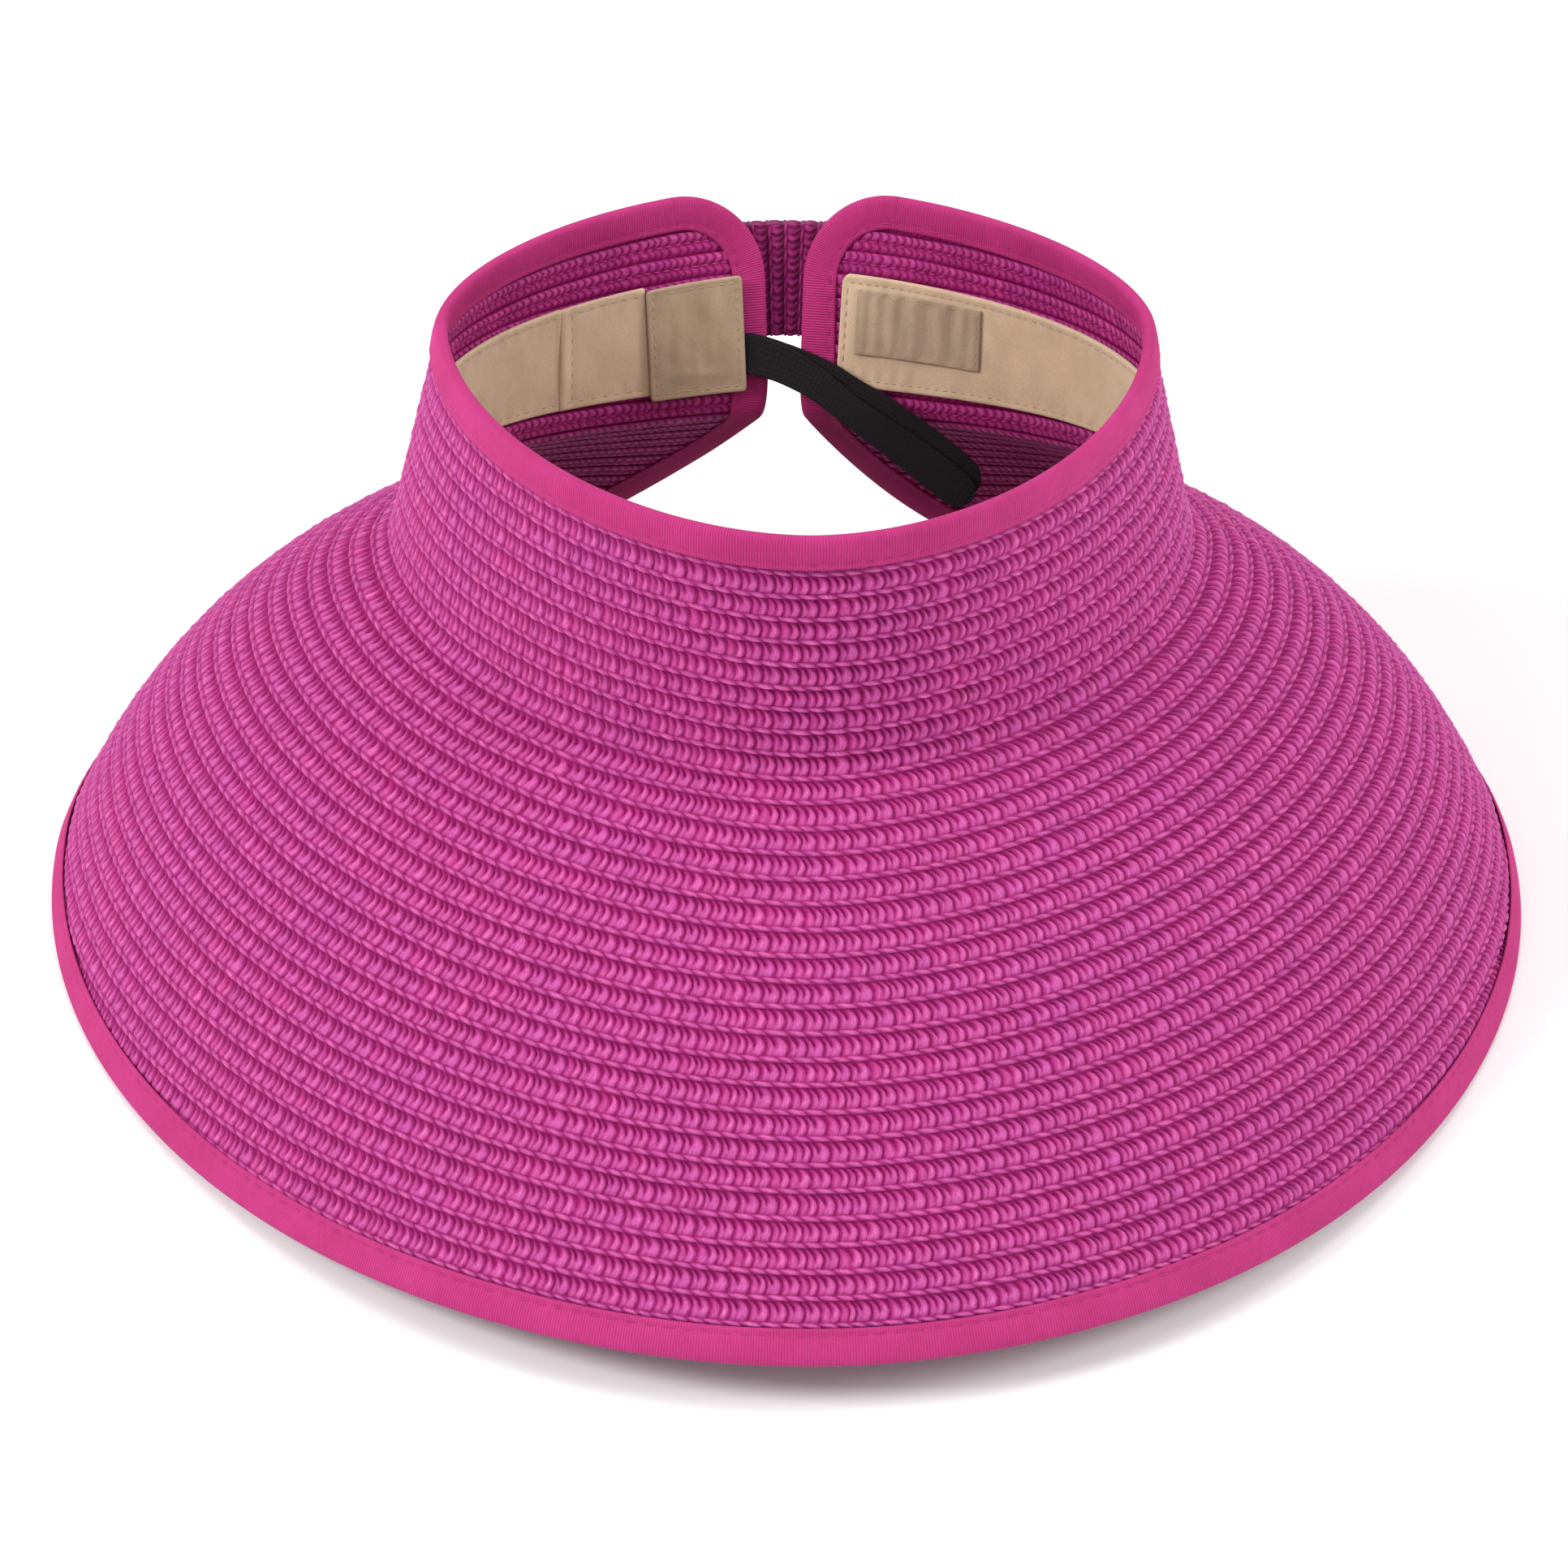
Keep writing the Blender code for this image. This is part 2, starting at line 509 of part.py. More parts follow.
def knot():
    """Short flat tube of braid wrapped round the strap and the pinched middle of the bow."""
    s0, s1, h0, h1, w, r = 9.6, 39.6, 1.95, 12.0, 1.4, 3.0
    ring_o, ring_i = [], []
    for cs, ch, q in ((s1 - r, h1 - r, 0), (s0 + r, h1 - r, 1), (s0 + r, h0 + r * 0.4, 2), (s1 - r, h0 + r * 0.4, 3)):
        for k in range(4):
            th = (q + k / 3) * math.pi / 2
            ry = 1.0 if q < 2 else 0.4
            ring_o.append((cs + r * math.cos(th), ch + r * ry * math.sin(th)))
            ring_i.append((cs + (r - w) * math.cos(th), ch + (r * ry - w) * math.sin(th) if q < 2 else h0 + w))
    bm = bmesh.new()
    rows = []
    for j in range(6):
        a = math.pi - KNOT_HALF + 2 * KNOT_HALF * j / 5
        rows.append([[bm.verts.new(x) for x in skin(np.full(16, a), np.array([p[0] for p in rr]), np.array([p[1] for p in rr]))]
                     for rr in (ring_o, ring_i)])
    for a, b in zip(rows[:-1], rows[1:]):
        for q in (0, 1):
            for k in range(16):
                l = (k + 1) % 16
                bm.faces.new([a[q][k], a[q][l], b[q][l], b[q][k]])
    for r_ in (rows[0], rows[-1]):
        for k in range(16):
            l = (k + 1) % 16
            bm.faces.new([r_[0][k], r_[0][l], r_[1][l], r_[1][k]])
    bmesh.ops.remove_doubles(bm, verts=bm.verts, dist=1e-7)
    return add("bow_knot", bm, BRAID, HINGE_STRAP)


knot()
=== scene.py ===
# Roll-up braid sun visor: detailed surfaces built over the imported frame.
# Rows of lapped braid, ribbed edge tape with stitching, cotton sweatband, blank label,
# doubled elastic loop, bow strap, knot and hook-and-loop patches.
import bpy, math
import numpy as np
from mathutils import Matrix, Vector


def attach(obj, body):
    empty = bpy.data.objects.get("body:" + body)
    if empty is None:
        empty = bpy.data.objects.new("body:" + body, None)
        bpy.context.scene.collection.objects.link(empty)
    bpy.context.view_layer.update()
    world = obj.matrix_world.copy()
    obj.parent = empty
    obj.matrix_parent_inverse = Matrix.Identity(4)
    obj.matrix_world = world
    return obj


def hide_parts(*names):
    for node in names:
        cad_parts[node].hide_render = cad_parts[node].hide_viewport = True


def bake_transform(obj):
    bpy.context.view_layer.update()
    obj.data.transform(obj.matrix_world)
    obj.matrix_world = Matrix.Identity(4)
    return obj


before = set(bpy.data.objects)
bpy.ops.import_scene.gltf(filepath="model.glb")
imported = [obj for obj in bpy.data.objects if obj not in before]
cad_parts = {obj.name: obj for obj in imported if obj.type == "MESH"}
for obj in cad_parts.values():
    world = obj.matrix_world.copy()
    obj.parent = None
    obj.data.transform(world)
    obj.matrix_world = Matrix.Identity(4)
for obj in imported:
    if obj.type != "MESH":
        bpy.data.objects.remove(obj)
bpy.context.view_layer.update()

MM = 0.001

# ------------------------------------------------------------ the same surface as the CAD
HALF_WIDTH, FRONT_DEPTH, BACK_DEPTH = 86.0, 105.77, 71.52
OVAL_POWER_FRONT, OVAL_POWER_BACK = 1.835, 1.75
WALL_SLOPE = (-1.3, 13.11, -16.95)
BRIM_SLOPE_IN = (51.09, 64.05, 50.03)
BRIM_SLOPE_OUT = (38.53, 18.07, -6.67)
QUARTER_SLOPE = -2.08
CROWN_HEIGHT_FRONT, CROWN_HEIGHT_BACK = 63.58, 57.16
FOLD_HALF = 4.93
TOP_FRONT, TOP_BACK = -1.46, 1.45
BRIM_LENGTH_FRONT, BRIM_LENGTH_BACK = 140.06, -12.25
OUTLINE_Q, OUTLINE_PE = 0.34, 2.82
END_GAP_HALF, TOP_CORNER_R = 5.63, 24.0
LOW_CORNER_R = {1: 26.95, -1: 13.0}
END_EXTRA = {1: 6.61, -1: -7.47}
TAPE_WIDTH = 8.5
TILT = math.radians(-5.975)
LIFT, SHIFT_X, SHIFT_Y = 154.85, -0.05, 66.05
CT, ST = math.cos(TILT), math.sin(TILT)


def ease(t):
    t = np.clip(t, 0, 1)
    return t * t * (3 - 2 * t)


def around(phi, v):
    c = np.cos(phi)
    return v[0] * np.where(c > 0, c, 0) ** 2 + v[1] * (1 - c ** 2) + v[2] * np.where(c < 0, c, 0) ** 2


def crown_height(phi):
    return CROWN_HEIGHT_FRONT + (CROWN_HEIGHT_BACK - CROWN_HEIGHT_FRONT) * (1 - np.cos(phi)) / 2


def turn(v):
    """Crown frame direction to the row frame."""
    v = np.asarray(v, float)
    return np.stack([v[..., 0], v[..., 1] * CT - v[..., 2] * ST, v[..., 1] * ST + v[..., 2] * CT], -1)


def place(p):
    return (turn(p) + np.array([SHIFT_X, SHIFT_Y, LIFT])) * MM


G_P0, G_P1, G_DP = math.radians(-186), math.radians(246), math.radians(0.3)
G_DS, G_SMAX = 0.3, 219.0


def surface_table():
    """Mid-surface points and outward normals on a fine (phi, s) grid, in the row frame, mm."""
    phi = np.arange(G_P0, G_P1 + G_DP, G_DP)
    s = np.arange(0, G_SMAX + G_DS, G_DS)
    sx, cy = np.sin(phi), -np.cos(phi)
    n = np.where(cy < 0, OVAL_POWER_FRONT, OVAL_POWER_BACK)
    b = np.where(cy < 0, FRONT_DEPTH, BACK_DEPTH)
    r = ((np.abs(sx) / HALF_WIDTH) ** n + (np.abs(cy) / b) ** n) ** (-1 / n)
    x, y = r * sx, r * cy
    gx = np.sign(x) * np.abs(x / HALF_WIDTH) ** (n - 1) / HALF_WIDTH
    gy = np.sign(y) * np.abs(y / b) ** (n - 1) / b
    gl = np.hypot(gx, gy)
    nx, ny = gx / gl, gy / gl
    c = np.cos(phi)
    ac = np.radians(around(phi, WALL_SLOPE))
    a0 = np.radians(around(phi, BRIM_SLOPE_IN))
    a1 = np.radians(around(phi, BRIM_SLOPE_OUT) + QUARTER_SLOPE * np.where(c > 0, np.sin(2 * np.abs(phi)) ** 2, 0))
    hc = crown_height(phi)
    t = ease((s[None, :] - (hc[:, None] - FOLD_HALF)) / (2 * FOLD_HALF))
    u = np.clip((s[None, :] - hc[:, None]) / BRIM_LENGTH_FRONT, 0, 1)
    ang = ac[:, None] * (1 - t) + (a0[:, None] + (a1 - a0)[:, None] * u) * t
    z0 = np.zeros((len(phi), 1))
    out = np.concatenate([z0, np.cumsum((np.sin(ang[:, 1:]) + np.sin(ang[:, :-1])) / 2 * G_DS, 1)], 1)
    down = np.concatenate([z0, np.cumsum((np.cos(ang[:, 1:]) + np.cos(ang[:, :-1])) / 2 * G_DS, 1)], 1)
    topz = TOP_FRONT * (1 + c) / 2 + TOP_BACK * (1 - c) / 2
    p = np.stack([(x[:, None] + nx[:, None] * out), (y[:, None] + ny[:, None] * out), topz[:, None] - down], -1)
    tp, ts = np.gradient(p, axis=0), np.gradient(p, axis=1)
    nrm = np.cross(ts, tp)
    nrm /= np.linalg.norm(nrm, axis=2)[..., None]
    speed = np.linalg.norm(tp, axis=2) / G_DP
    return turn(p) + np.array([SHIFT_X, SHIFT_Y, LIFT]), turn(nrm), speed


TAB_P, TAB_N, TAB_V = surface_table()


def look(tab, phi, s):
    i = (np.asarray(phi) - G_P0) / G_DP
    j = np.clip(np.asarray(s), 0, G_SMAX - 0.01) / G_DS
    i0 = np.clip(np.floor(i).astype(int), 0, tab.shape[0] - 2)
    j0 = np.clip(np.floor(j).astype(int), 0, tab.shape[1] - 2)
    fi, fj = i - i0, j - j0
    if tab.ndim == 3:
        fi, fj = fi[..., None], fj[..., None]
    return ((tab[i0, j0] * (1 - fj) + tab[i0, j0 + 1] * fj) * (1 - fi)
            + (tab[i0 + 1, j0] * (1 - fj) + tab[i0 + 1, j0 + 1] * fj) * fi)


def skin(phi, s, h):
    """Row-frame points (metres) at height h mm outside the mid-surface."""
    phi, s, h = np.broadcast_arrays(np.asarray(phi, float), np.asarray(s, float), np.asarray(h, float))
    return (look(TAB_P, phi, s) + look(TAB_N, phi, s) * h[..., None]) * MM


def low_edge(phi, side, end_phi):
    d = (end_phi - phi) * BACK_DEPTH
    g = (1 + np.cos(phi)) / 2
    length = BRIM_LENGTH_BACK + (BRIM_LENGTH_FRONT - BRIM_LENGTH_BACK) * (1 - (1 - g) ** OUTLINE_PE) ** OUTLINE_Q
    r2 = LOW_CORNER_R[side]
    drop = np.where(d < r2, r2 - np.sqrt(np.clip(r2 * r2 - (r2 - d) ** 2, 0, None)), 0)
    return crown_height(phi) + length + END_EXTRA[side] * np.exp(-(d / 55.0) ** 2) - drop


END_PHI = math.pi - math.asin(END_GAP_HALF / BACK_DEPTH)


def half_outline(side):
    c0 = END_PHI - TOP_CORNER_R / BACK_DEPTH
    a = np.stack([np.linspace(0, c0, 600), np.zeros(600)], 1)
    th = np.linspace(0, math.pi / 2, 60)[1:]
    b = np.stack([END_PHI - TOP_CORNER_R * (1 - np.sin(th)) / BACK_DEPTH, TOP_CORNER_R * (1 - np.cos(th))], 1)
    s_end = float(low_edge(np.array([END_PHI]), side, END_PHI)[0])
    k = np.linspace(TOP_CORNER_R, s_end, 40)[1:]
    c = np.stack([np.full(len(k), END_PHI), k], 1)
    r2 = LOW_CORNER_R[side] / BACK_DEPTH
    th = np.linspace(0, math.pi / 2, 60)[1:]
    p = np.concatenate([END_PHI - r2 * (1 - np.cos(th)), np.linspace(END_PHI - r2, 0, 1200)[1:]])
    q = np.concatenate([a, b, c, np.stack([p, low_edge(p, side, END_PHI)], 1)])
    q[:, 0] *= side
    return q


def outline(step):
    """Closed outline sampled every step mm, with the inward step in (phi, s) for one millimetre."""
    r, l = half_outline(1), half_outline(-1)
    q = np.concatenate([r, l[::-1][1:-1]])
    q = np.concatenate([q, q[:1]])
    p = look(TAB_P, q[:, 0], q[:, 1])
    arc = np.concatenate([[0], np.cumsum(np.linalg.norm(np.diff(p, axis=0), axis=1))])
    n = int(round(arc[-1] / step))
    at = np.arange(n) * arc[-1] / n
    phi, s = np.interp(at, arc, q[:, 0]), np.interp(at, arc, q[:, 1])
    m = max(1, int(1.5 / step))
    p = look(TAB_P, phi, s)
    t = np.roll(p, -m, 0) - np.roll(p, m, 0)
    t /= np.linalg.norm(t, axis=1)[:, None]
    nr = look(TAB_N, phi, s)
    e, f = 0.01, 0.5
    tp = (look(TAB_P, phi + e, s) - look(TAB_P, phi - e, s)) / (2 * e)
    s0, s1 = np.maximum(s - f, 0), s + f
    ts = (look(TAB_P, phi, s1) - look(TAB_P, phi, s0)) / (s1 - s0)[:, None]
    mm = np.cross(t, nr)
    if (mm[0] * ts[0]).sum() < 0:
        mm = -mm
    g11, g12, g22 = (tp * tp).sum(1), (tp * ts).sum(1), (ts * ts).sum(1)
    b1, b2 = (mm * tp).sum(1), (mm * ts).sum(1)
    det = g11 * g22 - g12 ** 2
    return phi, s, (b1 * g22 - b2 * g12) / det, (b2 * g11 - b1 * g12) / det, at, arc[-1]


O_PHI, O_S, O_IP, O_IS, O_AT, O_LEN = outline(0.22)


def limits():
    """Upper and lower limits of the sheet inside the tape, as functions of phi."""
    w = 1.75
    p, s = O_PHI + O_IP * w, O_S + O_IS * w
    res = {}
    for side in (1, -1):
        k = (O_PHI * side) >= 0
        up, dn = k & (O_S < 34), k & (O_S >= 34)
        for key, m in (("lo", up), ("hi", dn)):
            a, b = p[m] * side, s[m]
            o = np.argsort(a, kind="stable")
            res[key, side] = (a[o], b[o])
    return res


LIM = limits()
PHI_IN = float(min(LIM["lo", 1][0].max(), LIM["lo", -1][0].max()))


def limit(key, phi):
    a = np.interp(np.abs(phi), *LIM[key, 1])
    b = np.interp(np.abs(phi), *LIM[key, -1])
    return np.where(np.asarray(phi) >= 0, a, b)


def from_edge(phi, s):
    """Distance (mm) from the outline, close to it."""
    v = look(TAB_V, phi, s)
    lo, hi = limit("lo", phi), limit("hi", phi)
    e = 0.01
    slope = (limit("hi", phi + e) - limit("hi", phi - e)) / (2 * e) / v
    sl2 = (limit("lo", phi + e) - limit("lo", phi - e)) / (2 * e) / v
    d = np.minimum((s - lo) / np.sqrt(1 + sl2 ** 2), (hi - s) / np.sqrt(1 + slope ** 2))
    return np.minimum(d, (PHI_IN - np.abs(phi)) * v) + 1.75


# ------------------------------------------------------------ mesh helpers
def attrs(me, lay=None, shade_and_tone=None):
    if lay is not None:
        a = me.attributes.new("lay", "FLOAT_VECTOR", "POINT")
        a.data.foreach_set("vector", np.asarray(lay, np.float32).ravel())
    if shade_and_tone is not None:
        a = me.attributes.new("shade_and_tone", "FLOAT_COLOR", "POINT")
        a.data.foreach_set("color", np.asarray(shade_and_tone, np.float32).ravel())


def mesh(name, verts, quads, lay=None, shade_and_tone=None, tris=None, smooth=True):
    verts = np.asarray(verts, np.float32).reshape(-1, 3)
    quads = np.asarray(quads, np.int32).reshape(-1, 4)
    nt = 0 if tris is None else len(tris)
    me = bpy.data.meshes.new(name)
    me.vertices.add(len(verts))
    me.vertices.foreach_set("co", verts.ravel())
    loops = quads.ravel() if not nt else np.concatenate([quads.ravel(), np.asarray(tris, np.int32).ravel()])
    # flip everything when the enclosed volume comes out negative
    a, b, c, d = (verts[quads[:, i]].astype(float) for i in range(4))
    vol = (np.cross(a, b) * c).sum() + (np.cross(a, c) * d).sum()
    if nt:
        t = np.asarray(tris, np.int32)
        vol += (np.cross(verts[t[:, 0]].astype(float), verts[t[:, 1]].astype(float)) * verts[t[:, 2]]).sum()
    if vol < 0:
        loops = quads[:, ::-1].ravel() if not nt else np.concatenate([quads[:, ::-1].ravel(), np.asarray(tris, np.int32)[:, ::-1].ravel()])
    me.loops.add(len(loops))
    me.loops.foreach_set("vertex_index", loops)
    n = len(quads) + nt
    me.polygons.add(n)
    start = np.concatenate([np.arange(len(quads)) * 4, len(quads) * 4 + np.arange(nt) * 3]).astype(np.int32)
    me.polygons.foreach_set("loop_start", start)
    me.polygons.foreach_set("use_smooth", np.full(n, smooth))
    me.update(calc_edges=True)
    me.validate()
    attrs(me, lay, shade_and_tone)
    ob = bpy.data.objects.new(name, me)
    bpy.context.scene.collection.objects.link(ob)
    return ob


def ring_quads(n, m, base=0, close=True, caps=True, wrap=False):
    """Quads of a tube: n stations of m ring points. Caps pair point k with m-1-k."""
    i = np.arange(n if wrap else n - 1)[:, None]
    k = np.arange(m if close else m - 1)[None, :]
    l = (k + 1) % m
    j = (i + 1) % n
    q = np.stack([i * m + k, i * m + l, j * m + l, j * m + k], -1).reshape(-1, 4)
    out = [q]
    if caps and close and not wrap:
        kk = np.arange(m // 2 - 1)
        c = np.stack([kk, kk + 1, m - 2 - kk, m - 1 - kk], -1)
        out += [c[:, ::-1], c + (n - 1) * m]
    return np.concatenate(out) + base


def finish_piece(ob, mat, body, nodes=()):
    ob.data.materials.append(mat)
    if isinstance(body, tuple):
        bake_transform(ob)
    else:
        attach(ob, body)
    if nodes:
        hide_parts(*nodes)
    return ob


def noise1(seed, n, lo=-1.0, hi=1.0):
    return np.random.RandomState(seed).uniform(lo, hi, n)


def smooth_noise(x, seed, period):
    """Smooth 1-D noise, -1..1, over positions x (mm)."""
    v = np.random.RandomState(seed).uniform(-1, 1, 4096)
    t = np.asarray(x) / period + 1024.0
    i = np.floor(t).astype(int)
    f = ease(t - i)
    return v[i % 4096] * (1 - f) + v[(i + 1) % 4096] * f


# ------------------------------------------------------------ materials
def new_mat(name):
    m = bpy.data.materials.new(name)
    m.use_nodes = True
    nt = m.node_tree
    return m, nt, nt.nodes["Principled BSDF"]


def node(nt, kind, **kw):
    n = nt.nodes.new(kind)
    for k, v in kw.items():
        if k.startswith("in_"):
            key = k[3:]
            n.inputs[int(key) if key.isdigit() else key.replace("_", " ")].default_value = v
        else:
            setattr(n, k, v)
    return n


def ramp(nt, stops):
    r = nt.nodes.new("ShaderNodeValToRGB")
    el = r.color_ramp.elements
    el[0].position, el[0].color = stops[0][0], (*stops[0][1], 1)
    el[1].position, el[1].color = stops[-1][0], (*stops[-1][1], 1)
    for p, c in stops[1:-1]:
        e = el.new(p)
        e.color = (*c, 1)
    return r


def mix(nt, kind, fac, a, b):
    n = nt.nodes.new("ShaderNodeMix")
    n.data_type = "RGBA"
    n.blend_type = kind
    L = nt.links
    if isinstance(fac, (int, float)):
        n.inputs[0].default_value = fac
    else:
        L.new(fac, n.inputs[0])
    for sock, v in ((n.inputs[6], a), (n.inputs[7], b)):
        if isinstance(v, tuple):
            sock.default_value = (*v, 1)
        else:
            L.new(v, sock)
    return n.outputs[2]


def braid_material(name, dark, mid_c, light, purple, gloss=0.46):
    m, nt, bs = new_mat(name)
    L = nt.links
    w = node(nt, "ShaderNodeAttribute", attribute_name="shade_and_tone")
    sep = node(nt, "ShaderNodeSeparateColor")
    L.new(w.outputs["Color"], sep.inputs[0])
    lay = node(nt, "ShaderNodeAttribute", attribute_name="lay")
    geo = node(nt, "ShaderNodeTexCoord")
    # cavity to crest: painted shade in the gaps between strands, painted highlight on the crests
    r = ramp(nt, [(0.0, dark), (0.5, mid_c), (1.0, light)])
    L.new(sep.outputs[0], r.inputs[0])
    # each strand its own tone
    r2 = ramp(nt, [(0.0, (0.90, 0.84, 0.92)), (0.5, (1, 1, 1)), (1.0, (1.07, 1.18, 1.05))])
    L.new(sep.outputs[1], r2.inputs[0])
    c = mix(nt, "MULTIPLY", 1.0, r.outputs[0], r2.outputs[0])
    # cloudy dye variation towards violet
    n1 = node(nt, "ShaderNodeTexNoise", in_Scale=38.0, in_Detail=4.0, in_Roughness=0.6)
    L.new(geo.outputs["Object"], n1.inputs["Vector"])
    r3 = ramp(nt, [(0.42, (0, 0, 0)), (0.72, (1, 1, 1))])
    L.new(n1.outputs[0], r3.inputs[0])
    f = node(nt, "ShaderNodeMath", operation="MULTIPLY", in_1=0.22)
    L.new(r3.outputs[0], f.inputs[0])
    c = mix(nt, "MIX", f.outputs[0], c, mix(nt, "MULTIPLY", 1.0, c, purple))
    # fine fibre streaks along each strand, real texture whose bright pink ends are also a painted highlight
    st = node(nt, "ShaderNodeVectorMath", operation="MULTIPLY")
    st.inputs[1].default_value = (3.3, 0.55, 1.0)
    L.new(lay.outputs["Vector"], st.inputs[0])
    n2 = node(nt, "ShaderNodeTexNoise", in_Scale=1.0, in_Detail=4.5, in_Roughness=0.72)
    L.new(st.outputs[0], n2.inputs["Vector"])
    r4 = ramp(nt, [(0.3, (0.66, 0.46, 0.68)), (0.5, (1.0, 1.0, 1.0)), (0.70, (1.28, 1.95, 1.34))])
    L.new(n2.outputs[0], r4.inputs[0])
    c = mix(nt, "MULTIPLY", 1.0, c, r4.outputs[0])
    L.new(c, bs.inputs["Base Color"])
    # roughness varies with the fibres
    mr = node(nt, "ShaderNodeMapRange", in_3=gloss - 0.07, in_4=gloss + 0.14)
    L.new(n2.outputs[0], mr.inputs[0])
    L.new(mr.outputs[0], bs.inputs["Roughness"])
    b = node(nt, "ShaderNodeBump", in_Strength=0.85, in_Distance=0.0006)
    L.new(n2.outputs[0], b.inputs["Height"])
    n3 = node(nt, "ShaderNodeTexNoise", in_Scale=2600.0, in_Detail=2.0)
    L.new(geo.outputs["Object"], n3.inputs["Vector"])
    b2 = node(nt, "ShaderNodeBump", in_Strength=0.2, in_Distance=0.0001)
    L.new(n3.outputs[0], b2.inputs["Height"])
    L.new(b.outputs[0], b2.inputs["Normal"])
    L.new(b2.outputs[0], bs.inputs["Normal"])
    bs.inputs["Specular IOR Level"].default_value = 0.22
    bs.inputs["Sheen Weight"].default_value = 0.0
    bs.inputs["Sheen Roughness"].default_value = 0.5
    bs.inputs["Sheen Tint"].default_value = (1.0, 0.55, 0.85, 1)
    return m


def cloth_material(name, low, high, pitch=0.55, rough=0.85, twill=0.0, sheen=0.15, tint=(1, 1, 1), strength=0.5,
                   depth=0.00012, creases=None, painted_crease_shade=1.0):
    """Woven cloth: crossing threads from the lay coordinates (mm), cloudy tone, soft fuzz."""
    m, nt, bs = new_mat(name)
    L = nt.links
    lay = node(nt, "ShaderNodeAttribute", attribute_name="lay")
    geo = node(nt, "ShaderNodeTexCoord")
    sx = node(nt, "ShaderNodeSeparateXYZ")
    L.new(lay.outputs["Vector"], sx.inputs[0])
    n0 = node(nt, "ShaderNodeTexNoise", in_Scale=1.4, in_Detail=2.0)
    L.new(lay.outputs["Vector"], n0.inputs["Vector"])

    def threads(a, b, k):
        # sin(2 pi (a + k b + wander) / pitch)
        m1 = node(nt, "ShaderNodeMath", operation="MULTIPLY_ADD", in_1=k)
        L.new(b, m1.inputs[0])
        L.new(a, m1.inputs[2])
        m2 = node(nt, "ShaderNodeMath", operation="MULTIPLY_ADD", in_1=0.16)
        L.new(n0.outputs[0], m2.inputs[0])
        L.new(m1.outputs[0], m2.inputs[2])
        m3 = node(nt, "ShaderNodeMath", operation="MULTIPLY", in_1=2 * math.pi / pitch)
        L.new(m2.outputs[0], m3.inputs[0])
        m4 = node(nt, "ShaderNodeMath", operation="SINE")
        L.new(m3.outputs[0], m4.inputs[0])
        return m4.outputs[0]

    warp = threads(sx.outputs[0], sx.outputs[1], twill)
    weft = threads(sx.outputs[1], sx.outputs[0], 0.0)
    mm = node(nt, "ShaderNodeMath", operation="MULTIPLY") if not twill else node(nt, "ShaderNodeMath", operation="ADD")
    L.new(warp, mm.inputs[0])
    L.new(weft, mm.inputs[1])
    hgt = node(nt, "ShaderNodeMapRange", in_1=-1.2, in_2=1.2)
    L.new(mm.outputs[0], hgt.inputs[0])
    n1 = node(nt, "ShaderNodeTexNoise", in_Scale=55.0, in_Detail=5.0, in_Roughness=0.62)
    L.new(geo.outputs["Object"], n1.inputs["Vector"])
    n2 = node(nt, "ShaderNodeTexNoise", in_Scale=1900.0, in_Detail=2.0)
    L.new(geo.outputs["Object"], n2.inputs["Vector"])
    base = ramp(nt, [(0.3, low), (0.72, high)])
    L.new(n1.outputs[0], base.inputs[0])
    r2 = ramp(nt, [(0.0, (0.86, 0.84, 0.83)), (1.0, (1.07, 1.07, 1.08))])
    L.new(hgt.outputs[0], r2.inputs[0])
    c = mix(nt, "MULTIPLY", 0.9, base.outputs[0], r2.outputs[0])
    r3 = ramp(nt, [(0.3, (0.9, 0.9, 0.9)), (0.7, (1.08, 1.08, 1.08))])
    L.new(n2.outputs[0], r3.inputs[0])
    c = mix(nt, "MULTIPLY", 0.8, c, r3.outputs[0])
    # painted shade in creases: darker streaks of stretched noise where folds would shade the cloth
    if creases:
        vm = node(nt, "ShaderNodeVectorMath", operation="MULTIPLY")
        vm.inputs[1].default_value = creases
        L.new(lay.outputs["Vector"], vm.inputs[0])
        n3 = node(nt, "ShaderNodeTexNoise", in_Scale=1.0, in_Detail=1.5)
        L.new(vm.outputs[0], n3.inputs["Vector"])
        r4 = ramp(nt, [(0.36, (0.76, 0.73, 0.70)), (0.5, (0.98, 0.98, 0.98)), (0.64, (1.10, 1.10, 1.10))])
        L.new(n3.outputs[0], r4.inputs[0])
        c = mix(nt, "MULTIPLY", painted_crease_shade, c, r4.outputs[0])
    L.new(c, bs.inputs["Base Color"])
    mr = node(nt, "ShaderNodeMapRange", in_3=rough - 0.08, in_4=min(1.0, rough + 0.08))
    L.new(n2.outputs[0], mr.inputs[0])
    L.new(mr.outputs[0], bs.inputs["Roughness"])
    b = node(nt, "ShaderNodeBump", in_Strength=strength, in_Distance=depth)
    L.new(hgt.outputs[0], b.inputs["Height"])
    b2 = node(nt, "ShaderNodeBump", in_Strength=0.25, in_Distance=0.0001)
    L.new(n2.outputs[0], b2.inputs["Height"])
    L.new(b.outputs[0], b2.inputs["Normal"])
    L.new(b2.outputs[0], bs.inputs["Normal"])
    bs.inputs["Specular IOR Level"].default_value = 0.3
    bs.inputs["Sheen Weight"].default_value = sheen
    bs.inputs["Sheen Roughness"].default_value = 0.45
    bs.inputs["Sheen Tint"].default_value = (*tint, 1)
    return m


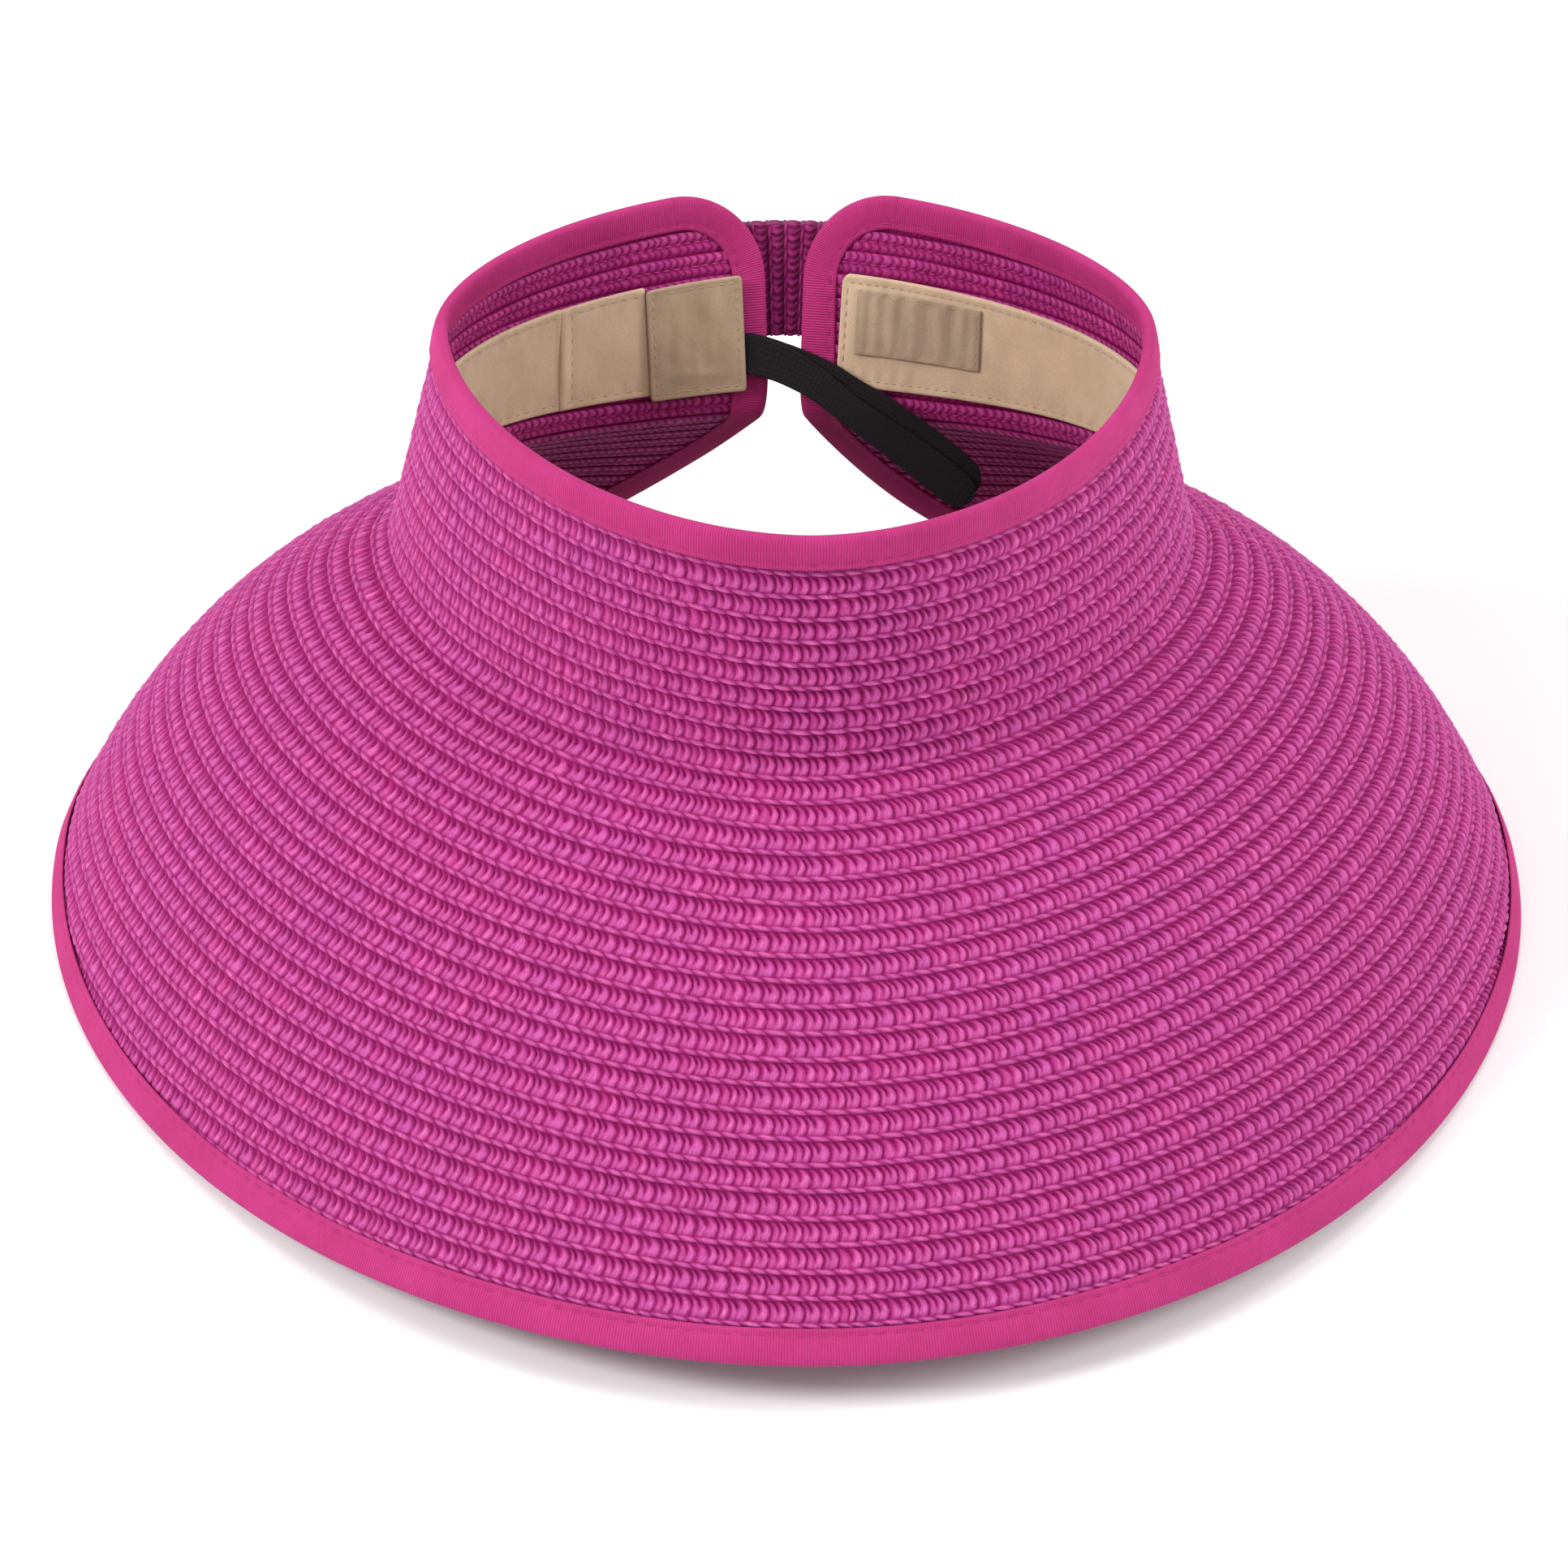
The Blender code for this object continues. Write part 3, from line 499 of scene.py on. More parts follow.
def rib_material(name, low, high, pitch=0.66):
    """Ribbed tape: cords run across it, a darker gap between them, fine threads along it."""
    m, nt, bs = new_mat(name)
    L = nt.links
    lay = node(nt, "ShaderNodeAttribute", attribute_name="lay")
    geo = node(nt, "ShaderNodeTexCoord")
    sx = node(nt, "ShaderNodeSeparateXYZ")
    L.new(lay.outputs["Vector"], sx.inputs[0])
    m1 = node(nt, "ShaderNodeMath", operation="MULTIPLY", in_1=2 * math.pi / pitch)
    L.new(sx.outputs[0], m1.inputs[0])
    rib = node(nt, "ShaderNodeMath", operation="COSINE")
    L.new(m1.outputs[0], rib.inputs[0])
    n1 = node(nt, "ShaderNodeTexNoise", in_Scale=60.0, in_Detail=5.0, in_Roughness=0.6)
    L.new(geo.outputs["Object"], n1.inputs["Vector"])
    st = node(nt, "ShaderNodeVectorMath", operation="MULTIPLY")
    st.inputs[1].default_value = (3.0, 0.5, 1.0)
    L.new(lay.outputs["Vector"], st.inputs[0])
    n2 = node(nt, "ShaderNodeTexNoise", in_Scale=1.0, in_Detail=3.0)
    L.new(st.outputs[0], n2.inputs["Vector"])
    base = ramp(nt, [(0.3, low), (0.7, high)])
    L.new(n1.outputs[0], base.inputs[0])
    k = node(nt, "ShaderNodeMapRange", in_1=-1.0, in_2=1.0)
    L.new(rib.outputs[0], k.inputs[0])
    r2 = ramp(nt, [(0.0, (0.68, 0.55, 0.66)), (0.45, (0.96, 0.95, 0.96)), (1.0, (1.06, 1.12, 1.08))])
    L.new(k.outputs[0], r2.inputs[0])
    c = mix(nt, "MULTIPLY", 0.85, base.outputs[0], r2.outputs[0])
    r3 = ramp(nt, [(0.3, (0.88, 0.84, 0.88)), (0.7, (1.08, 1.12, 1.08))])
    L.new(n2.outputs[0], r3.inputs[0])
    c = mix(nt, "MULTIPLY", 0.8, c, r3.outputs[0])
    L.new(c, bs.inputs["Base Color"])
    mr = node(nt, "ShaderNodeMapRange", in_3=0.62, in_4=0.8)
    L.new(n2.outputs[0], mr.inputs[0])
    L.new(mr.outputs[0], bs.inputs["Roughness"])
    b = node(nt, "ShaderNodeBump", in_Strength=0.5, in_Distance=0.00012)
    L.new(k.outputs[0], b.inputs["Height"])
    b2 = node(nt, "ShaderNodeBump", in_Strength=0.4, in_Distance=0.0001)
    L.new(n2.outputs[0], b2.inputs["Height"])
    L.new(b.outputs[0], b2.inputs["Normal"])
    L.new(b2.outputs[0], bs.inputs["Normal"])
    bs.inputs["Specular IOR Level"].default_value = 0.25
    bs.inputs["Sheen Weight"].default_value = 0.06
    bs.inputs["Sheen Roughness"].default_value = 0.5
    bs.inputs["Sheen Tint"].default_value = (1.0, 0.6, 0.8, 1)
    return m


# the dark and light braid colours are painted shade in the strand gaps and a painted highlight on the crests
BRAID = braid_material("magenta_paper_braid", (0.31, 0.0006, 0.112), (0.485, 0.034, 0.236), (0.685, 0.108, 0.395), (0.84, 1.05, 1.22))
# a darker copy of the braid for the knot: painted shade, as the knot sits in shadow between the lobes
SHADED_KNOT_BRAID = braid_material("magenta_paper_braid_knot_painted_shade", (0.09, 0.001, 0.032), (0.27, 0.007, 0.115), (0.44, 0.034, 0.215), (0.84, 1.05, 1.22))
ROW_THREAD = cloth_material("magenta_row_thread", (0.40, 0.022, 0.19), (0.56, 0.045, 0.28), pitch=0.3, rough=0.5, sheen=0.05)
TAPE = rib_material("pink_grosgrain_tape", (0.455, 0.022, 0.160), (0.535, 0.032, 0.205))
THREAD = cloth_material("pink_sewing_thread", (0.40, 0.018, 0.145), (0.50, 0.028, 0.19), pitch=0.3, rough=0.55, sheen=0.05)
COTTON = cloth_material("beige_cotton_drill", (0.645, 0.475, 0.315), (0.745, 0.565, 0.39), pitch=0.5, rough=0.88, twill=0.0,
                        sheen=0.25, tint=(1, 0.95, 0.85), strength=0.55, creases=(0.10, 0.08, 1.0), painted_crease_shade=0.25)
BEIGE_THREAD = cloth_material("beige_sewing_thread", (0.42, 0.31, 0.19), (0.52, 0.39, 0.25), pitch=0.3, rough=0.6, sheen=0.1)
# a darker copy of the sweatband cotton for the corner patch: painted shade
SHADED_PATCH_COTTON = cloth_material("beige_cotton_patch_painted_shade", (0.42, 0.30, 0.195), (0.50, 0.375, 0.25), pitch=0.5, rough=0.88, twill=0.0,
                              sheen=0.2, tint=(1, 0.95, 0.85), strength=0.6, creases=(0.20, 0.07, 1.0), painted_crease_shade=0.32)
# the label cloth is made darker than the sweatband: painted shade
SHADED_LABEL = cloth_material("blank_woven_label_painted_shade", (0.41, 0.30, 0.20), (0.50, 0.38, 0.26), pitch=0.7, rough=0.75, sheen=0.2,
                       strength=0.6, creases=(0.30, 0.05, 1.0), painted_crease_shade=0.45)
ELASTIC = cloth_material("black_knit_elastic", (0.0045, 0.0028, 0.0045), (0.009, 0.006, 0.009), pitch=0.8, rough=0.8, sheen=0.05,
                         tint=(0.4, 0.35, 0.4), strength=0.9, depth=0.0002)
# a slightly lighter copy of the elastic for the upper strand: painted light
LIT_ELASTIC_TOP = cloth_material("black_knit_elastic_upper_strand_painted_light", (0.006, 0.0042, 0.0055), (0.010, 0.0075, 0.0095), pitch=0.8, rough=0.8, sheen=0.05,
                             tint=(0.4, 0.35, 0.4), strength=0.9, depth=0.0002)
HOOK = cloth_material("magenta_hook_tape", (0.40, 0.02, 0.19), (0.52, 0.035, 0.26), pitch=1.0, rough=0.6, sheen=0.2, strength=1.0,
                      depth=0.0003)
PILE = cloth_material("magenta_loop_pile", (0.42, 0.02, 0.20), (0.58, 0.045, 0.30), pitch=0.7, rough=0.95, sheen=0.5,
                      tint=(1, 0.5, 0.8), strength=0.9, depth=0.0003)

# ------------------------------------------------------------ the braid
FIRST_LINE, PITCH = 10.661, 6.1506
PERIOD = 4.2
OUT_T = np.array([-1.3, -0.3, 0.25, 0.65, 1.1, 1.65, 2.3, 3.0, 3.7, 4.25, 4.62, 4.86, 5.12, 5.42, 5.72, 5.95, 6.12])
IN_T = np.array([-1.3, -0.95, -0.4, 0.4, 1.1, 1.75, 2.3, 3.0, 3.7, 4.5, 6.12])


def bulge(t):
    """Along-row shift (mm) of the strands at distance t below the row's line."""
    return np.interp(t, [-1.3, 0.0, 0.6, 1.2, 2.0, 2.9, 3.8, 4.6, 4.75, 6.15], [-1.5, -0.95, -0.45, 0.06, 0.36, 0.30, 0.0, -0.22, -0.95, 0.85])


def strand(f, p_lo=0.30, p_hi=0.12):
    """0 in the slit, 1 on the crest: rises slowly from the left and drops fast on the right."""
    return ease(f / p_lo) * ease((1 - f) / p_hi)


def fingers(t, f, jit):
    """Two strands to a stitch, parted by a gap that is open at the top and closes below: 0 in the gaps, 1 on the crests."""
    c = 0.45 + 0.10 * jit
    g = 0.10 * ease((3.0 - t) / 2.2)
    a = np.sqrt(np.clip(1 - ((f - c / 2) / (c / 2 - g)) ** 2, 0, 1))
    b = np.sqrt(np.clip(1 - ((f - (1 + c) / 2) / ((1 - c) / 2 - g)) ** 2, 0, 1))
    two = np.maximum(a * (0.88 - 0.10 * jit), b)
    one = strand(f, 0.24, 0.15)
    close = ease((t - 2.3 - 1.1 * jit) / 1.7)
    return two * (1 - 0.66 * close) + one * 0.66 * close


def outer_height(t, u, uc, jit, jitc):
    """Outer face of a row: t mm below the row's line, u and uc the strand phases of the row and of its lower selvedge."""
    f, fc = u - np.floor(u), uc - np.floor(uc)
    base = np.interp(t, [-1.3, -0.2, 0.3, 0.9, 1.7, 2.7, 3.7, 4.3, 4.72], [0.02, 0.06, 0.18, 0.52, 0.80, 0.94, 0.86, 0.62, 0.18])
    k = ease((t + 0.1) / 0.7)
    r = fingers(t, f, jit)
    band = base - k * (1 - r) * np.interp(t, [0, 0.5, 1.2, 2.2, 3.4, 4.2, 4.8], [0.40, 0.72, 0.92, 0.92, 0.76, 0.55, 0.18])
    band -= 0.20 * np.exp(-((f - 0.26) / 0.2) ** 2) * ease((1.5 - t) / 1.1) * k
    band += 0.10 * jit * k * ease((4.6 - t) / 0.6)
    band = np.maximum(band, np.interp(t, [-1.3, 0.05, 0.4, 1.0, 4.8], [-0.02, 0.02, -0.34, -0.34, -0.02]))
    # lower selvedge: overlapping lens-shaped strands
    lens = np.clip(np.sin(np.pi * fc), 0, 1) ** 0.5
    hw = 0.62 * (0.36 + 0.64 * lens)
    q = np.clip((t - 5.42 - 0.16 * (fc - 0.5)) / hw, -1, 1)
    cord = 0.10 + (0.86 + 0.16 * jitc) * np.sqrt(1 - q * q + 1e-6) * (0.26 + 0.74 * lens) * (1.06 - 0.16 * fc)
    return np.where(t < 4.74, band, np.maximum(cord, 0.24 - 0.08 * (t - 4.7)))


def painted_strand_shading(t, f, fc, jit, jitc):
    """Painted shade between the strands and painted highlight on the crests and selvedge lenses, 0 deep to 1 on the
    crests.
    """
    body = fingers(t, f, jit) ** 1.7 * np.interp(t, [-0.2, 0.2, 0.7, 1.5, 3.0, 4.2, 4.7], [0.0, 0.22, 0.58, 0.85, 1.0, 0.92, 0.40])
    q = np.clip((t - 5.42 - 0.16 * (fc - 0.5)) / 0.70, -1, 1)
    sel = (0.10 + 0.92 * np.clip(np.sin(np.pi * fc), 0, 1) ** 0.7) * (1 - 0.75 * q ** 4)
    return np.clip(np.where(t < 4.74, body, sel), 0, 1)


def inner_height(t, u, jit):
    """Inner face: the row's upper edge lies over the row above it, and a sewn groove parts it into two ribs."""
    f = 2 * u - np.floor(2 * u)
    base = np.interp(t, [-1.3, -0.9, -0.3, 0.4, 1.1, 1.75, 2.3, 3.0, 3.7, 4.3, 4.8, 6.15], [-0.60, -0.98, -1.08, -1.04, -0.84, -0.46, -0.76, -0.88, -0.78, -0.46, -0.10, 0.12])
    r = strand(f, 0.34, 0.22)
    amp = np.interp(t, [-1.3, -0.9, 0.4, 1.3, 1.75, 2.2, 3.4, 4.4, 6.0], [0.0, 0.24, 0.26, 0.18, 0.06, 0.20, 0.26, 0.08, 0.0])
    return base + amp * (1 - r) - 0.05 * jit * (t < 4.4)


# painted shade in the gaps of the inner face and painted highlight on its ribs
def painted_inner_shading(t, u):
    f = 2 * u - np.floor(2 * u)
    return strand(f, 0.4, 0.3) * np.interp(t, [-1.3, -0.9, 0.4, 1.2, 1.75, 2.2, 3.2, 4.0, 4.7], [0.15, 0.85, 0.75, 0.40, 0.05, 0.40, 0.68, 0.42, 0.0])


def row_line(k, phi):
    w = 0.11 * np.sin(3 * phi + 1.7 * k) + 0.09 * np.sin(7.3 * phi + 2.9 * k + 1.0) + 0.05 * np.sin(17 * phi + 4.1 * k)
    return FIRST_LINE + PITCH * k + w * (1 if k > -2 else 0)


FINE_PHI = np.linspace(-PHI_IN, PHI_IN, 6001)


def phase_of(k):
    """Strand phase of row k at FINE_PHI, with slow wander in stitch length."""
    s = np.clip(FIRST_LINE + PITCH * (k + 0.55), 0, 216)
    v = look(TAB_V, FINE_PHI, np.full_like(FINE_PHI, s))
    arc = np.concatenate([[0], np.cumsum((v[1:] + v[:-1]) / 2 * np.diff(FINE_PHI))])
    arc -= np.interp(0, FINE_PHI, arc)
    return arc / PERIOD + 0.28 * smooth_noise(arc, 700 + k, 17.0) + 0.16 * smooth_noise(arc, 900 + k, 5.0) + noise1(50 + k, 1)[0], arc


PHASES = {k: phase_of(k) for k in range(-3, 35)}
STEP = 0.37


def cap_tris(no, m):
    """Triangles closing a ring whose first no points are the outer face and the rest the inner face, reversed."""
    outer, inner = list(range(no)), list(range(m - 1, no - 1, -1))
    a = np.linspace(0, len(inner) - 1, no).round().astype(int)
    out = []
    for i in range(no - 1):
        c, d = inner[a[i + 1]], inner[a[i]]
        out.append((outer[i], outer[i + 1], c))
        if c != d:
            out.append((outer[i], c, d))
    return np.array(out)


def braid_row(k):
    ph, arc = PHASES[k]
    phc, _ = PHASES[k + 1]
    n = int((arc[-1] - arc[0]) / STEP)
    phi = np.interp(np.linspace(arc[0], arc[-1], n), arc, FINE_PHI)
    l0, l1 = row_line(k, phi), row_line(k + 1, phi)
    sc = (l1 - l0) / 6.15
    top = np.maximum(l0 - 1.3 * sc, limit("lo", phi))
    low = np.minimum(l1 - 0.03, limit("hi", phi))
    ok = (low - top) > 1.1
    idx = np.flatnonzero(ok)
    if not len(idx):
        return None
    runs = [r for r in np.split(idx, np.flatnonzero(np.diff(idx) > 1) + 1) if len(r) * STEP > 6]
    V, Q, T, LAY, SHADE_TONE, base = [], [], [], [], [], 0
    rs_a, rs_b = noise1(3000 + k, 400), noise1(4000 + k, 400)
    for r in runs:
        p, a, b, l, c = phi[r], top[r], low[r], l0[r], sc[r]
        cols = np.arange(len(r)) * STEP
        fade = ease(np.minimum(cols, cols[::-1]) / 4.0)
        parts = []
        for ts, face in ((OUT_T, 1), (IN_T[::-1], -1)):
            tau = (ts + 1.3) / (6.12 + 1.3)
            s = a[:, None] + (b - a)[:, None] * tau[None, :]
            t = (s - l[:, None]) / c[:, None]
            v = look(TAB_V, np.broadcast_to(p[:, None], s.shape), s)
            sh = bulge(t) if face > 0 else -0.5 * np.cos(t * 1.9)
            q = p[:, None] + sh * fade[:, None] / v
            q = np.clip(q, -PHI_IN, PHI_IN)
            bare = np.interp(np.broadcast_to(p[:, None], s.shape), FINE_PHI, ph)
            # phases follow the mesh columns, so that slits run along them
            u = bare if face > 0 else bare + 0.37
            barec = np.interp(np.broadcast_to(p[:, None], s.shape), FINE_PHI, phc)
            i, ic = np.floor(u).astype(int) + 200, np.floor(barec).astype(int) + 200
            j, jc = rs_a[i % 400], rs_b[ic % 400]
            d = from_edge(q, s)
            press = ease((d - 7.4) / 2.2)
            if face > 0:
                h = outer_height(t, u, barec, j, jc)
                h = np.where(h > 0, h * (0.62 + 0.38 * press), h)
            else:
                h = inner_height(t, u, j)
                h = np.where(h < 0, h * (0.80 + 0.20 * press), h)
            lim_ = np.minimum(ease((s - limit("lo", q)) / 1.5), 1)
            w = look(TAB_P, q, s) + look(TAB_N, q, s) * h[..., None]
            w[..., 2] = np.maximum(w[..., 2], 0.25)
            parts.append(w * MM)
            # the first colour channel is painted shade in the gaps and a painted highlight on the crests; the second is
            # strand tone
            if face > 0:
                f = u - np.floor(u)
                fc = barec - np.floor(barec)
                painted_shading = painted_strand_shading(t, f, fc, j, jc)
                tone = 0.5 + 0.5 * np.where(t < 4.74, j, jc)
                LAY.append(np.stack([u * PERIOD, t + k * 7.0, np.zeros_like(t)], -1))
            else:
                painted_shading = painted_inner_shading(t, u)
                tone = 0.5 + 0.5 * j
                LAY.append(np.stack([u * PERIOD, t + k * 7.0 + 300, np.ones_like(t)], -1))
            SHADE_TONE.append(np.stack([painted_shading, tone, np.full_like(t, 0.5 + 0.5 * face), np.ones_like(t)], -1))
        ring = np.concatenate(parts, 1)
        LAY[-2:] = [np.concatenate(LAY[-2:], 1).reshape(-1, 3)]
        SHADE_TONE[-2:] = [np.concatenate(SHADE_TONE[-2:], 1).reshape(-1, 4)]
        V.append(ring.reshape(-1, 3))
        m = ring.shape[1]
        Q.append(ring_quads(ring.shape[0], m, base, True, False))
        for st in (0, ring.shape[0] - 1):
            T.append(cap_tris(len(OUT_T), m) + base + st * m if st else cap_tris(len(OUT_T), m)[:, ::-1] + base)
        base += ring.shape[0] * m
    ob = mesh(f"braid_row_{k + 3:02d}", np.concatenate(V), np.concatenate(Q), np.concatenate(LAY), np.concatenate(SHADE_TONE), np.concatenate(T))
    crown = FIRST_LINE + PITCH * (k + 0.5) < 61
    return finish_piece(ob, BRAID, "shell", ("crown_braid" if crown else "brim_braid",))


for k in range(-2, 33):
    braid_row(k)


def row_seams(name, ks):
    """Points and inward normals along the sewn groove inside each row, for the machine stitches of several rows."""
    B, N, R, off = [], [], [], 0.0
    segs = []
    for k in ks:
        phi = np.linspace(-PHI_IN, PHI_IN, 1500)
        sl = row_line(k, phi) + 1.75
        ok = (sl > limit("lo", phi) + 1.5) & (sl < limit("hi", phi) - 1.5) & (np.abs(phi) < PHI_IN - 0.03)
        idx = np.flatnonzero(ok)
        for r in [r for r in np.split(idx, np.flatnonzero(np.diff(idx) > 1) + 1) if len(r) > 12]:
            nr = look(TAB_N, phi[r], sl[r])
            segs.append((look(TAB_P, phi[r], sl[r]) - nr * 0.52, -nr))
    return segs


# ------------------------------------------------------------ edge tape
RIB = 0.66
TAPE_SEC_OUT = [(8.5, 1.02), (8.52, 1.30), (8.2, 1.52), (7.6, 1.60), (7.2, 1.46), (6.9, 1.42), (6.6, 1.48), (6.1, 1.66), (4.4, 1.72), (2.6, 1.70),
                (1.3, 1.55), (0.5, 1.22), (0.05, 0.65)]
TAPE_SEC_IN = [(0.0, 0.0), (0.05, -0.62), (0.5, -1.15), (1.4, -1.46), (3.6, -1.56), (6.1, -1.54), (6.6, -1.40), (7.0, -1.36), (7.5, -1.48),
               (8.2, -1.42), (8.5, -1.2), (8.48, -1.0)]
TAPE_BACK = [(6.0, -1.06), (2.0, -1.06), (1.5, 0.0), (2.0, 1.06), (6.0, 1.1)]
SEC = np.array(TAPE_SEC_OUT + TAPE_SEC_IN + TAPE_BACK)
SEC_RIB = np.array([0, .5, 1, 1, .9, .8, .9, 1, 1, 1, 1, 1, 1] + [1, 1, 1, 1, 1, 1, .9, .8, .9, 1, .5, 0] + [0] * 5)


def outline_index(phi_deg, upper):
    c = np.abs(np.degrees(O_PHI) - phi_deg) + np.where((O_S < 30) == upper, 0, 1e3)
    return int(np.argmin(c))


def tape(name, i0, i1, nodes):
    n = len(O_PHI)
    idx = (i0 + np.arange((i1 - i0) % n + 1)) % n
    p, s, ip, is_ = O_PHI[idx], O_S[idx], O_IP[idx], O_IS[idx]
    run = np.arange(len(idx)) * O_LEN / n
    d = SEC[None, :, 0] + 0.10 * smooth_noise(run, 31, 23.0)[:, None] * ease((SEC[None, :, 0] - 5) / 3.5)
    h = np.repeat(SEC[None, :, 1], len(idx), 0)
    rib = np.cos(2 * np.pi * run / RIB)[:, None] * SEC_RIB[None, :] * 0.06
    sign = np.sign(np.where(np.abs(SEC[:, 1]) < 0.01, 1, SEC[:, 1]))[None, :]
    h = h + rib * sign
    # soft hand-sewn swelling between stitches, and a slow ripple in the tape
    st = np.cos(2 * np.pi * run / STITCH)[:, None] * 0.05 * np.exp(-((SEC[None, :, 0] - 7.3) / 1.3) ** 2) * (SEC_RIB[None, :] > 0) * sign
    h = h + st + 0.05 * smooth_noise(run, 77, 9.0)[:, None] * np.exp(-((SEC[None, :, 0] - 4.0) / 2.0) ** 2) * (SEC_RIB[None, :] > 0) * sign
    P = p[:, None] + ip[:, None] * d
    S = np.maximum(s[:, None] + is_[:, None] * d, 0.0)
    w = look(TAB_P, P, S) + look(TAB_N, P, S) * h[..., None]
    # the rounded fold stands just outside the sheet's edge
    edge = look(TAB_P, p, s) - look(TAB_P, p + ip * 1.5, np.maximum(s + is_ * 1.5, 0))
    edge /= np.linalg.norm(edge, axis=1)[:, None]
    w += edge[:, None, :] * (rib * np.exp(-(SEC[None, :, 0] / 0.5) ** 2))[..., None]
    w[..., 2] = np.maximum(w[..., 2], 0.0)
    m = len(SEC)
    kk = np.arange(m)
    q = ring_quads(len(idx), m, 0, True, False)
    # caps: outer and inner skins are joined by hand, as the section is a thin U
    outer = list(range(0, len(TAPE_SEC_OUT) + len(TAPE_SEC_IN)))
    inner = list(range(m - 1, len(outer) - 1, -1))
    a = np.interp(np.linspace(0, 1, len(outer)), np.linspace(0, 1, len(inner)), np.arange(len(inner))).round().astype(int)
    caps_t = []
    for st_i in (0, len(idx) - 1):
        o = st_i * m
        for j in range(len(outer) - 1):
            A, B = outer[j] + o, outer[j + 1] + o
            C, D = inner[a[j + 1]] + o, inner[a[j]] + o
            caps_t.append((A, B, C))
            if C != D:
                caps_t.append((A, C, D))
    lay = np.stack([np.broadcast_to(run[:, None], h.shape), np.broadcast_to(SEC[None, :, 0] * sign + 20, h.shape), np.zeros_like(h)], -1)
    ob = mesh(name, w.reshape(-1, 3) * MM, q, lay.reshape(-1, 3), None, caps_t)
    return finish_piece(ob, TAPE, "shell", nodes)


def dash_mesh(base, nrm, run, length, pitch, radius, sink, jitter, rs, m=7, g=6):
    L = run[-1] - run[0]
    n = int(L / pitch)
    if n < 1:
        return None
    c = run[0] + (np.arange(n) + 0.5) * L / n
    t = np.linspace(-0.5, 0.5, m)
    at = c[:, None] + t[None, :] * length
    P = np.stack([np.interp(at, run, base[:, i]) for i in range(3)], -1)
    N = np.stack([np.interp(at, run, nrm[:, i]) for i in range(3)], -1)
    N /= np.linalg.norm(N, axis=-1)[..., None]
    T = np.gradient(P, axis=1)
    T /= np.linalg.norm(T, axis=-1)[..., None]
    B = np.cross(T, N)
    if jitter:
        P = P + B * (rs.uniform(-1, 1, n)[:, None] + np.zeros((1, m)))[..., None] * jitter + B * (rs.uniform(-1, 1, n)[:, None] * t[None, :])[..., None] * jitter
    prof = np.sqrt(np.clip(1 - (2 * t) ** 4, 0, 1)) * 0.85 + 0.15
    lift = radius * (1 - sink) * (1 - (2 * t) ** 2) - radius * 0.9 * (2 * t) ** 4
    th = np.arange(g) * 2 * np.pi / g
    r = radius * prof
    ring = (P + N * lift[None, :, None])[:, :, None, :] + B[:, :, None, :] * (np.cos(th) * 1.25)[None, None, :, None] * r[None, :, None, None] \
        + N[:, :, None, :] * np.sin(th)[None, None, :, None] * r[None, :, None, None]
    q1 = ring_quads(m, g, 0, True, True)
    Q = (q1[None] + (np.arange(n) * m * g)[:, None, None]).reshape(-1, 4)
    lay = np.zeros((n, m, g, 3))
    lay[..., 0] = at[:, :, None] + np.arange(g)[None, None, :] * 0.08
    lay[..., 1] = np.arange(g)[None, None, :] * 0.15
    return ring.reshape(-1, 3), Q, lay.reshape(-1, 3)


def dashes(name, base, nrm, run, mat, body, slot, length=2.5, pitch=3.4, radius=0.21, sink=0.5, jitter=0.0, seed=5):
    """Short threads lying along a line: base points and normals (row frame, mm) at arc lengths run."""
    d = dash_mesh(base, nrm, run, length, pitch, radius, sink, jitter, np.random.RandomState(seed))
    if d is None:
        return None
    ob = mesh(name, d[0] * MM, d[1], d[2])
    return finish_piece(ob, mat, body)


STITCH = 4.4
TOP_CUT = math.degrees(END_PHI - TOP_CORNER_R / BACK_DEPTH)
LOW_CUT = 150.0
iR0, iR1 = outline_index(TOP_CUT, True), outline_index(LOW_CUT, False)
iL0, iL1 = outline_index(-LOW_CUT, False), outline_index(-TOP_CUT, True)
RUNS = (("top_tape", iL1, iR0, "top_binding"), ("end_tape_right", iR0, iR1, "end_binding_right"),
        ("brim_tape", iR1, iL0, "brim_binding"), ("end_tape_left", iL0, iL1, "end_binding_left"))
for nm, a, b, nd in RUNS:
    tape(nm, a, b, (nd,))
for nm, a, b, nd in RUNS:
    n = len(O_PHI)
    idx = (a + np.arange((b - a) % n + 1)) % n
    for side, hh in (("out", 1.42), ("in", -1.36)):
        d = 6.9
        P, S = O_PHI[idx] + O_IP[idx] * d, O_S[idx] + O_IS[idx] * d
        N = look(TAB_N, P, S)
        pts = look(TAB_P, P, S) + N * hh
        run = np.concatenate([[0], np.cumsum(np.linalg.norm(np.diff(pts, axis=0), axis=1))])
        dashes(f"{nm}_stitching_{side}", pts, N * np.sign(hh), run, THREAD, "shell", "tape", length=3.5, pitch=STITCH, radius=0.16, sink=0.75)


for nm, ks in (("row_stitching_crown", range(-1, 8)), ("row_stitching_brim_1", range(8, 15)), ("row_stitching_brim_2", range(15, 22)),
               ("row_stitching_brim_3", range(22, 32))):
    V, Q, LY, o = [], [], [], 0
    rs_ = np.random.RandomState(17)
    for P_, N_ in row_seams(nm, ks):
        run = np.concatenate([[0], np.cumsum(np.linalg.norm(np.diff(P_, axis=0), axis=1))])
        d = dash_mesh(P_, N_, run, 2.0, 2.55, 0.19, 0.2, 0.06, rs_, m=5, g=5)
        if d is None:
            continue
        V.append(d[0]); Q.append(d[1] + o); LY.append(d[2]); o += len(d[0])
    ob = mesh(nm, np.concatenate(V) * MM, np.concatenate(Q), np.concatenate(LY))
    finish_piece(ob, ROW_THREAD, "shell")


